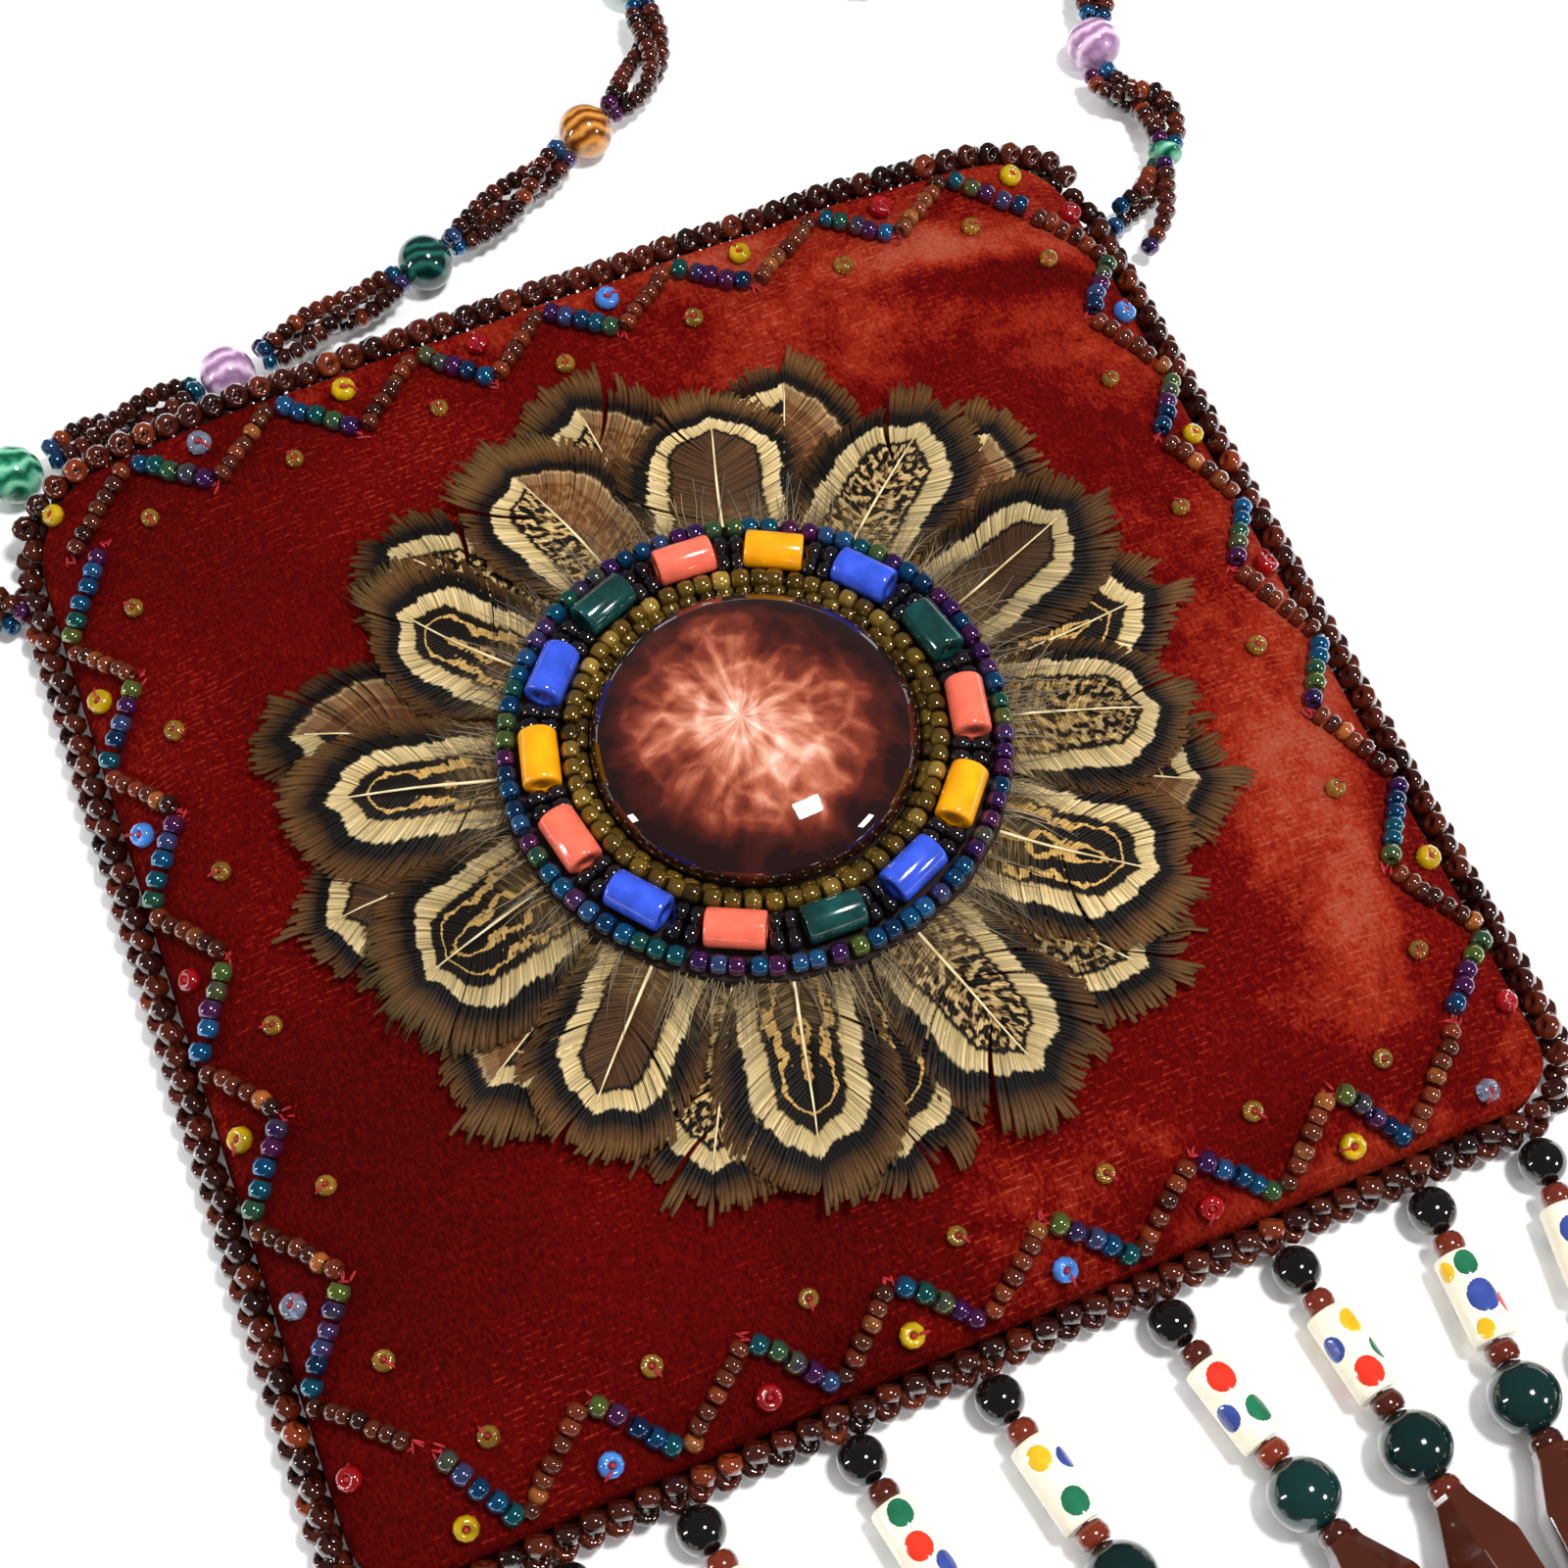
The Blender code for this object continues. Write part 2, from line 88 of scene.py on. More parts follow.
def linear(code):
    """The linear colour of an sRGB hex code."""
    parts = [int(code[i:i + 2], 16) / 255 for i in (0, 2, 4)]
    return tuple(p / 12.92 if p <= 0.04045 else ((p + 0.055) / 1.055) ** 2.4 for p in parts) + (1.0,)


def colour(label, about, code):
    return bpy.props.FloatVectorProperty(
        name=label, description=about, subtype="COLOR", size=4, min=0.0, max=1.0, default=linear(code)
    )


def length(label, about, default):
    return bpy.props.FloatProperty(name=label, description=about, unit="LENGTH", min=0.0001, default=default)


class BagSizes(bpy.types.PropertyGroup):
    edge_bead: length("Edge bead", "Outer diameter of the seed beads along the rim", 0.0033)
    edge_stitch: length("Edge stitch", "Distance from one edge stitch to the next", 0.0031)
    zigzag_bead: length("Zigzag bead", "Outer diameter of the zigzag's seed beads", 0.0025)
    dot_bead: length("Dot bead", "Outer diameter of the single beads sewn inside the zigzag", 0.0032)
    feather_reach: length("Feather reach", "How far the rosette reaches from its centre", 0.0590)
    strap_stone: length("Strap stone", "Diameter of the round stones on the strap", 0.0078)


class BagColours(bpy.types.PropertyGroup):
    # The lightest velvet colour: pile brushed up, and painted sheen where the cloth rounds over at the rim and on its
    # folds.
    velvet_nap_and_sheen: colour("Velvet, brushed up", "Pile that leans towards the light", "8f4c3a")


def clear_selection():
    for item in bpy.context.selected_objects:
        item.select_set(False)


def made_by(operator, **settings):
    """The mesh that one of Blender's add operators makes, lifted off its object."""
    clear_selection()
    operator(**settings)
    item = bpy.context.active_object
    mesh = item.data
    bpy.data.objects.remove(item)
    return mesh


def add_node(tree, kind, settings=None, links=()):
    """One shader node: settings are input values or attributes by name, links are (input, socket) pairs."""
    made = tree.nodes.new(kind)
    for key, value in (settings or {}).items():
        if isinstance(key, int) or key in made.inputs:
            made.inputs[key].default_value = value
        else:
            setattr(made, key, value)
    for key, socket in links:
        tree.links.new(socket, made.inputs[key])
    return made


def set_stops(ramp, stops, interpolation="LINEAR"):
    """Gives a colour ramp its stops, as (place, hex code) pairs."""
    ramp.color_ramp.interpolation = interpolation
    elements = ramp.color_ramp.elements
    while len(elements) < len(stops):
        elements.new(0.5)
    for element, (place, code) in zip(elements, stops):
        element.position = place
        element.color = linear(code)


def new_material(name, **shader_settings):
    """A material with its shader's settings, its tree and its shader."""
    made = bpy.data.materials.new(name)
    made.use_nodes = True
    shader = made.node_tree.nodes["Principled BSDF"]
    for key, value in shader_settings.items():
        shader.inputs[key.replace("_", " ")].default_value = value
    return made, made.node_tree, shader


def mapped(tree, socket, low, high, to_low=0.0, to_high=1.0):
    """A value stretched from one range to another, held at both ends."""
    ranges = {"From Min": low, "From Max": high, "To Min": to_low, "To Max": to_high}
    return add_node(tree, "ShaderNodeMapRange", ranges, [("Value", socket)]).outputs[0]


def scaled(tree, socket, scale):
    return add_node(tree, "ShaderNodeMapping", {"Scale": scale}, [("Vector", socket)]).outputs[0]


def noise(tree, place, scale, detail=3.0, distortion=0.0):
    settings = {"Scale": scale, "Detail": detail, "Distortion": distortion}
    return add_node(tree, "ShaderNodeTexNoise", settings, [("Vector", place)]).outputs["Fac"]


def math_of(tree, operation, first, second):
    """One arithmetic node of two sockets, or of a socket and a number."""
    links = [(0, first)]
    settings = {"operation": operation}
    if isinstance(second, (int, float)):
        settings[1] = second
    else:
        links.append((1, second))
    return add_node(tree, "ShaderNodeMath", settings, links).outputs[0]


def distance_of(tree, socket):
    return add_node(tree, "ShaderNodeVectorMath", {"operation": "LENGTH"}, [(0, socket)]).outputs["Value"]


def moved(tree, socket, by):
    return add_node(tree, "ShaderNodeMapping", {"Location": by}, [("Vector", socket)]).outputs[0]


def blend_colours(tree, share, first, second):
    """A mix of two colours, each a socket or a hex code."""
    made = add_node(tree, "ShaderNodeMix", {"data_type": "RGBA"}, [(0, share)])
    for slot, given in ((6, first), (7, second)):
        if isinstance(given, str):
            made.inputs[slot].default_value = linear(given)
        else:
            tree.links.new(given, made.inputs[slot])
    return made.outputs[2]


def ramp_of(tree, socket, stops, interpolation="LINEAR"):
    ramp = add_node(tree, "ShaderNodeValToRGB", {}, [("Fac", socket)])
    set_stops(ramp, stops, interpolation)
    return ramp.outputs["Color"]


# The fringe: where each strand hangs, its lean from straight down in degrees,
# how far from its hinge its first bead is, and where its thread pulls the cloth down
FRINGE_PLACES = (-0.0700, -0.0560, -0.0409, -0.0221, -0.0057, 0.0152, 0.0313, 0.0496, 0.0646)
FRINGE_LEANS = (6.0, 8.0, 8.0, 8.0, 8.6, 10.3, 5.0, -4.7, -10.5)
FIRST_BEAD = 0.0060
SEWN_DIP = 0.0019
SEWN_LINE = -0.0692


def lean_at(y):
    return LEAN * y / BAG_HEIGHT


def rim_outline(inset, per_side, per_corner):
    """Points round the rim, moved inwards, anticlockwise from the lower right corner."""
    corners = ((1, -1, LOWER_CORNER), (1, 1, UPPER_CORNER), (-1, 1, UPPER_CORNER), (-1, -1, LOWER_CORNER))
    arcs = []
    for turn, (sign_x, sign_y, corner) in enumerate(corners):
        radius = min(corner + 0.3 * inset, 0.98 * (HALF_HEIGHT - inset))
        x = sign_x * (HALF_WIDTH - inset - radius)
        y = sign_y * (HALF_HEIGHT - inset - radius)
        angles = [math.radians(-90 + 90 * (turn + i / per_corner)) for i in range(per_corner + 1)]
        arcs.append([Vector((x + radius * math.cos(a), y + radius * math.sin(a))) for a in angles])
    points = []
    for arc, following in zip(arcs, arcs[1:] + arcs[:1]):
        points += arc
        points += [arc[-1].lerp(following[0], i / per_side) for i in range(1, per_side)]
    return [Vector((p.x + lean_at(p.y), p.y)) for p in points]


def bump(x, y, middle_x, middle_y, spread_x, spread_y, turn=0.0):
    """A soft hill of height 1 with its own two spreads, turned by an angle in degrees."""
    angle = math.radians(turn)
    dx = x - middle_x
    dy = y - middle_y
    along = (dx * math.cos(angle) + dy * math.sin(angle)) / spread_x
    across = (dy * math.cos(angle) - dx * math.sin(angle)) / spread_y
    return math.exp(-along * along - across * across)


def dents(x, y):
    """Where the cloth is pulled down or pushed up by its stitches and by handling."""
    fold = 0.0011 * bump(x, y, 0.052, 0.056, 0.028, 0.006, -8)
    fold -= 0.0010 * bump(x, y, 0.048, 0.046, 0.030, 0.005, -8)
    crease = 0.0013 * bump(x, y, 0.054, -0.050, 0.022, 0.006, 58)
    crease -= 0.0014 * bump(x, y, 0.061, -0.047, 0.022, 0.004, 58)
    pull = -0.0012 * bump(x, y, -0.054, 0.010, 0.004, 0.045, 3)
    pull -= 0.0011 * bump(x, y, -0.052, -0.046, 0.022, 0.004, -58)
    wave = 0.00022 * math.sin(x * 310 + 1.3) * math.sin(y * 270 + 0.4)
    if y < -0.060:
        for place, lean in zip(FRINGE_PLACES, FRINGE_LEANS):
            sewn = place + FIRST_BEAD * math.sin(math.radians(lean))
            pull -= SEWN_DIP * bump(x, y, sewn, SEWN_LINE, 0.0036, 0.0030)
    return fold + crease + pull + wave


def puff(x, y):
    across = min(abs(x - lean_at(y)) / (HALF_WIDTH - CLOTH_EDGE), 1.0)
    up = max(min(y / (HALF_HEIGHT - CLOTH_EDGE), 1.0), -1.0)
    side = math.sqrt(1 - across ** PUFF_POWER)
    below = math.sqrt(1 - (-min(up, 0.0)) ** PUFF_POWER)
    inside = side * below
    return PUFF * inside * (1 + MOUTH_FLARE * max(up, 0.0) ** 4) + dents(x, y) * min(1.0, 1.6 * inside)


def velvet_normal(x, y):
    step = 0.0004
    slope_x = (puff(x + step, y) - puff(x - step, y)) / (2 * step)
    slope_y = (puff(x, y + step) - puff(x, y - step)) / (2 * step)
    return Vector((-slope_x, -slope_y, 1.0)).normalized()


def on_velvet(x, y, lift=0.0):
    """The point this far off the front panel, along its normal."""
    return Vector((x, y, SEAM + puff(x, y))) + velvet_normal(x, y) * lift


def axis_frame(origin, axis, spin=0.0, scale=(1.0, 1.0, 1.0)):
    """A placement whose Z runs along an axis."""
    turn = Vector(axis).to_track_quat("Z", "Y").to_matrix().to_4x4()
    size = Matrix.Diagonal((*scale, 1.0))
    return Matrix.Translation(origin) @ turn @ Matrix.Rotation(spin, 4, "Z") @ size


def mesh_from_arrays(name, points, faces):
    mesh = bpy.data.meshes.new(name)
    mesh.from_pydata([tuple(p) for p in points], [], faces)
    mesh.shade_smooth()
    return mesh


def copies(name, template, placements, tints):
    """One mesh of many placed copies of a template, each with its own tint from 0 to 1."""
    count = len(template.vertices)
    base = np.empty(count * 3, np.float32)
    template.vertices.foreach_get("co", base)
    base = np.hstack([base.reshape(-1, 3), np.ones((count, 1), np.float32)])
    matrices = np.array([[list(row) for row in m] for m in placements])
    points = np.einsum("kij,nj->kni", matrices, base)[:, :, :3].reshape(-1, 3)
    corners = np.empty(len(template.loops), np.int32)
    template.loops.foreach_get("vertex_index", corners)
    starts = np.empty(len(template.polygons), np.int32)
    template.polygons.foreach_get("loop_start", starts)
    slots = np.empty(len(template.polygons), np.int32)
    template.polygons.foreach_get("material_index", slots)
    many = len(placements)
    steps = np.arange(many)[:, None]
    mesh = bpy.data.meshes.new(name)
    mesh.vertices.add(count * many)
    mesh.loops.add(len(corners) * many)
    mesh.polygons.add(len(starts) * many)
    mesh.vertices.foreach_set("co", points.astype(np.float32).ravel())
    mesh.loops.foreach_set("vertex_index", (corners[None, :] + steps * count).astype(np.int32).ravel())
    mesh.polygons.foreach_set("loop_start", (starts[None, :] + steps * len(corners)).astype(np.int32).ravel())
    mesh.polygons.foreach_set("material_index", np.tile(slots, many))
    mesh.update(calc_edges=True)
    tint = mesh.attributes.new("tint", "FLOAT", "POINT")
    tint.data.foreach_set("value", np.repeat(np.asarray(tints, np.float32), count))
    mesh.shade_smooth()
    return mesh


def joined(name, meshes, materials):
    """One object from several meshes: the faces of each keep a material of their own."""
    parts = []
    for mesh, material in zip(meshes, materials):
        item = bpy.data.objects.new(name, mesh)
        mesh.materials.clear()
        mesh.materials.append(material)
        bpy.context.scene.collection.objects.link(item)
        parts.append(item)
    clear_selection()
    for item in parts:
        item.select_set(True)
    bpy.context.view_layer.objects.active = parts[0]
    if len(parts) > 1:
        bpy.ops.object.join()
    return bpy.context.view_layer.objects.active


def piece(name, mesh, material, replaces=(), body=ROOT):
    """A finished piece of the bag: it rides on its body and takes the place of its plain solids."""
    item = joined(name, [mesh], [material])
    return settle(item, name, replaces, body)


def settle(item, name, replaces=(), body=ROOT):
    item.name = name
    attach(item, body)
    if replaces:
        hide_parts(*replaces)
    return item


# A seed bead's half length, as a share of its radius
BEAD_HALF = 0.64


def seed_bead_mesh(around, across):
    """A seed bead of outer radius 1: a rounded ring, about two thirds as long as it is wide."""
    mesh = made_by(
        bpy.ops.mesh.primitive_torus_add,
        major_segments=around,
        minor_segments=across,
        major_radius=0.60,
        minor_radius=0.40,
    )
    mesh.transform(Matrix.Diagonal((1.0, 1.0, 1.60, 1.0)))
    return mesh


def round_bead_mesh(segments, rings):
    return made_by(bpy.ops.mesh.primitive_uv_sphere_add, segments=segments, ring_count=rings, radius=1.0)


def tube_bead_mesh():
    """A glazed tube of radius 1 and half length 1 with softened ends and a hole at each."""
    clear_selection()
    bpy.ops.mesh.primitive_cylinder_add(vertices=36, radius=1.0, depth=2.0, end_fill_type="NGON")
    item = bpy.context.active_object
    bpy.ops.object.mode_set(mode="EDIT")
    bpy.ops.mesh.select_mode(type="FACE")
    bpy.ops.mesh.select_all(action="DESELECT")
    bpy.ops.object.mode_set(mode="OBJECT")
    for face in item.data.polygons:
        face.select = abs(face.normal.z) > 0.9
    bpy.ops.object.mode_set(mode="EDIT")
    bpy.ops.mesh.bevel(offset=0.12, segments=2, affect="EDGES")
    bpy.ops.mesh.select_all(action="DESELECT")
    bpy.ops.object.mode_set(mode="OBJECT")
    for face in item.data.polygons:
        face.select = len(face.vertices) == 36
    bpy.ops.object.mode_set(mode="EDIT")
    bpy.ops.mesh.inset(thickness=0.5)
    bpy.ops.mesh.extrude_region_move()
    bpy.ops.transform.resize(value=(1.0, 1.0, 0.6))
    bpy.ops.object.mode_set(mode="OBJECT")
    mesh = item.data
    bpy.data.objects.remove(item)
    return mesh


def along(points, pitch, closed=False):
    """Evenly spaced (point, direction) pairs along a line."""
    line = [Vector(p) for p in points]
    if closed:
        line.append(line[0])
    lengths = [(b - a).length for a, b in zip(line, line[1:])]
    total = sum(lengths)
    count = max(1, round(total / pitch))
    found = []
    index = 0
    passed = 0.0
    for i in range(count):
        place = total * (i + 0.5) / count
        while index < len(lengths) - 1 and place > passed + lengths[index]:
            passed += lengths[index]
            index += 1
        a, b = line[index], line[index + 1]
        found.append((a.lerp(b, (place - passed) / lengths[index]), (b - a).normalized()))
    return found


def smooth_line(knots, steps=16):
    """A smooth curve through given points."""
    points = [Vector(k) for k in knots]
    ends = [points[0] * 2 - points[1]] + points + [points[-1] * 2 - points[-2]]
    found = []
    for a, b, c, d in zip(ends, ends[1:], ends[2:], ends[3:]):
        for i in range(steps):
            t = i / steps
            cubic = 2 * b + (c - a) * t + (2 * a - 5 * b + 4 * c - d) * t ** 2 + (3 * b - a - 3 * c + d) * t ** 3
            found.append(0.5 * cubic)
    found.append(points[-1])
    return found


def bead_glass(name, stops, roughness, see_through, metal=0.0):
    """Pressed or drawn glass: each bead takes its own shade, and a clear coat gives the sharp highlight."""
    made, tree, shader = new_material(
        name, Roughness=roughness, Metallic=metal, Transmission_Weight=see_through, IOR=1.5, Coat_Weight=1.0
    )
    shader.inputs["Coat Roughness"].default_value = 0.04
    tint = add_node(tree, "ShaderNodeAttribute", {"attribute_name": "tint"})
    place = add_node(tree, "ShaderNodeTexCoord")
    cloud = add_node(tree, "ShaderNodeTexNoise", {"Scale": 700.0, "Detail": 2.0}, [("Vector", place.outputs["Object"])])
    shift = add_node(
        tree,
        "ShaderNodeMath",
        {"operation": "MULTIPLY_ADD", 1: 0.18, 2: -0.09},
        [(0, cloud.outputs["Fac"])],
    )
    shade = add_node(tree, "ShaderNodeMath", {"operation": "ADD"}, [(0, tint.outputs["Fac"]), (1, shift.outputs[0])])
    ramp = add_node(tree, "ShaderNodeValToRGB", {}, [("Fac", shade.outputs[0])])
    set_stops(ramp, stops)
    tree.links.new(ramp.outputs["Color"], shader.inputs["Base Color"])
    return made


def brown_glass():
    return bead_glass(
        "brown_glass_seed_beads",
        ((0.0, "160704"), (0.3, "341107"), (0.6, "561c0a"), (0.85, "280c09"), (1.0, "843212")),
        0.05,
        0.25,
    )


def amber_brown_glass():
    """Thinner brown glass: against the velvet the light comes through it amber."""
    return bead_glass(
        "amber_brown_seed_beads",
        ((0.0, "240c06"), (0.3, "54200e"), (0.6, "742e12"), (0.85, "3a150c"), (1.0, "a05824")),
        0.05,
        0.2,
    )


def iris_glass():
    """Oil-slick coated glass: each bead shows its own band of the metal film's colours."""
    return bead_glass(
        "iris_coated_seed_beads",
        (
            (0.0, "0a2a50"),
            (0.2, "0e5a8a"),
            (0.4, "0e5a50"),
            (0.55, "6a7a2a"),
            (0.7, "3a1c60"),
            (0.85, "5a2050"),
            (1.0, "1f6aa0"),
        ),
        0.10,
        0.0,
        0.7,
    )


def materials_once(maker, cache={}):
    """Makes each material the first time it is asked for."""
    if maker.__name__ not in cache:
        cache[maker.__name__] = maker()
    return cache[maker.__name__]


def velvet():
    """Silk velvet: short pile whose colour turns with the way it was brushed, lighter where painted sheen lies along
    the rounded rim and the folds, with broken rows of lifted fibres.
    """
    colours = bpy.context.scene.bag_colours
    made, tree, shader = new_material("silk_velvet", Roughness=0.95, Sheen_Weight=0.07, Sheen_Roughness=0.3)
    shader.inputs["Sheen Tint"].default_value = linear("d04a38")
    shader.inputs["Specular IOR Level"].default_value = 0.05
    place = add_node(tree, "ShaderNodeTexCoord").outputs["Object"]
    nap_and_sheen = add_node(tree, "ShaderNodeAttribute", {"attribute_name": "nap_and_sheen"}).outputs["Fac"]
    patch = noise(tree, place, 60.0, 5.0, 0.4)
    fine = noise(tree, place, 420.0, 4.0)
    ragged = math_of(tree, "ADD", mapped(tree, patch, 0.3, 0.7, -0.30, 0.30), mapped(tree, fine, 0.3, 0.7, -0.12, 0.12))
    # The nap attribute is partly the pile's lie and partly painted sheen.
    lie = mapped(tree, math_of(tree, "ADD", nap_and_sheen, ragged), 0.30, 1.05)
    # rows of pile three quarters of a millimetre apart, each broken into dashes
    run = add_node(tree, "ShaderNodeSeparateXYZ", {}, [(0, place)]).outputs["Y"]
    drift = mapped(tree, noise(tree, scaled(tree, place, (60.0, 90.0, 60.0)), 1.0, 2.0), 0.3, 0.7, -2.2, 2.2)
    turned = math_of(tree, "ADD", math_of(tree, "MULTIPLY", run, 8400.0), drift)
    ridge = mapped(tree, add_node(tree, "ShaderNodeMath", {"operation": "SINE"}, [(0, turned)]).outputs[0], 0.35, 0.95)
    broken = mapped(tree, noise(tree, scaled(tree, place, (900.0, 1500.0, 900.0)), 1.0, 2.0), 0.50, 0.60)
    where = mapped(tree, noise(tree, place, 48.0, 3.0), 0.40, 0.64, 0.08, 0.36)
    dashes = math_of(tree, "MULTIPLY", math_of(tree, "MULTIPLY", ridge, broken), where)
    pile = noise(tree, scaled(tree, place, (2600.0, 1300.0, 1300.0)), 1.0, 2.0)
    tufts = mapped(tree, pile, 0.30, 0.70, -0.13, 0.13)
    shade = mapped(tree, noise(tree, place, 22.0, 2.0), 0.3, 0.7, -0.10, 0.12)
    base = math_of(tree, "ADD", math_of(tree, "MULTIPLY", lie, 0.66), math_of(tree, "ADD", tufts, shade))
    share = math_of(tree, "ADD", math_of(tree, "ADD", base, dashes), 0.14)
    deep = blend_colours(tree, mapped(tree, share, 0.0, 0.30), "340101", "5a0403")
    red = blend_colours(tree, mapped(tree, share, 0.25, 0.62), deep, "842412")
    # The lightest colour: brushed-up pile and painted sheen.
    light = add_node(tree, "ShaderNodeMix", {"data_type": "RGBA"}, [(0, mapped(tree, share, 0.55, 1.05)), (6, red)])
    light.inputs[7].default_value = colours.velvet_nap_and_sheen
    tree.links.new(light.outputs[2], shader.inputs["Base Color"])
    relief = add_node(
        tree, "ShaderNodeBump", {"Strength": 0.5, "Distance": 0.0003}, [("Height", math_of(tree, "ADD", pile, dashes))]
    )
    tree.links.new(relief.outputs["Normal"], shader.inputs["Normal"])
    return made


def nap_and_sheen_at(x, y):
    """How light the pile is, from 0 to 1: partly pile that is brushed up, partly painted sheen, less two darker strips.
    """
    # Painted sheen: the strips along the rim, where the puffed cloth rounds over, and the patch on the top right fold.
    # The other patches are pile brushed the other way.
    right = 0.80 * bump(x, y, 0.076, 0.012, 0.015, 0.075)
    upper = 0.75 * bump(x, y, 0.052, 0.060, 0.026, 0.006, -8)
    specks = 0.45 * bump(x, y, 0.038, 0.050, 0.034, 0.012, -8)
    corner = 0.72 * bump(x, y, 0.056, -0.036, 0.010, 0.026, -12)
    lower = 0.30 * bump(x, y, 0.018, -0.060, 0.024, 0.006, 10)
    top = 0.62 * bump(x, y, 0.020, 0.071, 0.075, 0.005)
    left = 0.40 * bump(x, y, -0.074, 0.030, 0.004, 0.060)
    base = 0.65 * bump(x, y, 0.040, -0.071, 0.050, 0.005)
    # Painted shade along the top right fold, and a darker strip low on the right.
    dark = 0.8 * bump(x, y, 0.056, 0.054, 0.018, 0.003, -12) + 1.0 * bump(x, y, 0.0665, -0.044, 0.0035, 0.020, -14)
    return max(0.0, min(1.0, right + upper + specks + corner + lower + top + left + base - dark))


def ring_surface(insets, height, per_side=40, per_corner=12, middle=True):
    """Points and faces of a sheet laid through the rim and through lines inside it."""
    points = []
    faces = []
    for inset in insets:
        points += [height(p.x, p.y, inset) for p in rim_outline(inset, per_side, per_corner)]
    count = len(points) // len(insets)
    for ring in range(len(insets) - 1):
        for i in range(count):
            j = (i + 1) % count
            faces.append((ring * count + i, ring * count + j, (ring + 1) * count + j, (ring + 1) * count + i))
    if middle:
        points.append(height(0.0, 0.0, HALF_HEIGHT))
        last = (len(insets) - 1) * count
        faces += [(last + i, last + (i + 1) % count, len(points) - 1) for i in range(count)]
    return points, faces


def apply_modifier(item, kind, **settings):
    clear_selection()
    item.select_set(True)
    bpy.context.view_layer.objects.active = item
    made = item.modifiers.new("finish", kind)
    for key, value in settings.items():
        setattr(made, key, value)
    bpy.ops.object.modifier_apply(modifier=made.name)


class BAG_OT_pouch(bpy.types.Operator):
    """Sew the two velvet panels and the satin lining"""

    bl_idname = "bag.pouch"
    bl_label = "Pouch"

    def execute(self, context):
        cloth = materials_once(velvet)
        insets = [CLOTH_EDGE + 0.0728 * (i / 62) ** 1.7 for i in range(60)]
        points, faces = ring_surface(insets, lambda x, y, inset: on_velvet(x, y))
        mesh = mesh_from_arrays("velvet_front", points, faces)
        # Per point, the pile's lie and the painted sheen and shade on it.
        nap_and_sheen = mesh.attributes.new("nap_and_sheen", "FLOAT", "POINT")
        nap_and_sheen.data.foreach_set("value", [nap_and_sheen_at(p[0], p[1]) for p in points])
        front = piece("velvet_front", mesh, cloth, ["front_panel"])
        apply_modifier(front, "SOLIDIFY", thickness=0.0012, offset=-1.0)

        def back_height(x, y, inset):
            share = max(0.0, 1 - inset / 0.013)
            return Vector((x, y, 0.0001 + 0.0014 * share ** 2))

        points, faces = ring_surface([0.0006 * 1.35 ** i for i in range(15)], back_height, 24, 8)
        mesh = mesh_from_arrays("velvet_back", points, [face[::-1] for face in faces])
        nap_and_sheen = mesh.attributes.new("nap_and_sheen", "FLOAT", "POINT")
        nap_and_sheen.data.foreach_set("value", [0.3 + 0.3 * math.sin(p[0] * 60) * math.sin(p[1] * 45) for p in points])
        back = piece("velvet_back", mesh, cloth, ["back_panel"])
        apply_modifier(back, "SOLIDIFY", thickness=0.0012, offset=-1.0)
        self.add_lining()
        return {"FINISHED"}

    def add_lining(self):
        satin, tree, shader = new_material("dark_red_satin", Roughness=0.38, Sheen_Weight=0.2, Anisotropic=0.5)
        place = add_node(tree, "ShaderNodeTexCoord")
        weave = add_node(
            tree,
            "ShaderNodeTexWave",
            {"bands_direction": "X", "Scale": 700.0, "Distortion": 0.4},
            [("Vector", place.outputs["Object"])],
        )
        ramp = add_node(tree, "ShaderNodeValToRGB", {}, [("Fac", weave.outputs["Fac"])])
        set_stops(ramp, ((0.0, "3a0d0b"), (1.0, "571713")))
        tree.links.new(ramp.outputs["Color"], shader.inputs["Base Color"])
        insets = [0.0022 + 0.0022 * i for i in range(3)] + [0.009, 0.014, 0.022, 0.034, 0.05]
        front_points, faces = ring_surface(insets, lambda x, y, inset: on_velvet(x, y, -0.0017), 16, 5)
        upper = mesh_from_arrays("lining_front", front_points, faces)
        back_points, faces = ring_surface(insets, lambda x, y, inset: Vector((x, y, 0.0031)), 16, 5)
        lower = mesh_from_arrays("lining_back", back_points, faces)
        lining = joined("satin_lining", [upper, lower], [satin, satin])
        apply_modifier(lining, "SOLIDIFY", thickness=0.0003, offset=-1.0)
        settle(lining, "satin_lining", ["lining_pouch"])


def stitch_beads(line, outward, bead_radius, stitch, chance):
    """Three beads round the rim at each stitch, the upper ones half a stitch ahead of the lower ones."""
    placements = []
    tints = []
    wrap = 1.13 * bead_radius
    for centre, direction in along(line, stitch):
        out = outward(centre, direction)
        up = direction.cross(out)
        if up.z < 0:
            up = -up
        for step in (-1, 0, 1):
            angle = math.radians(62 * step + chance.uniform(-7, 7))
            spoke = out * math.cos(angle) + up * math.sin(angle)
            axis = up * math.cos(angle) - out * math.sin(angle) + direction * 0.35
            place = centre + spoke * wrap + direction * step * stitch * 0.24
            size = bead_radius * chance.uniform(0.93, 1.05)
            spin = chance.uniform(0, 3)
            placements.append(axis_frame(place, axis, spin, (size, size, size * chance.uniform(0.95, 1.1))))
            tints.append(chance.random())
    return placements, tints


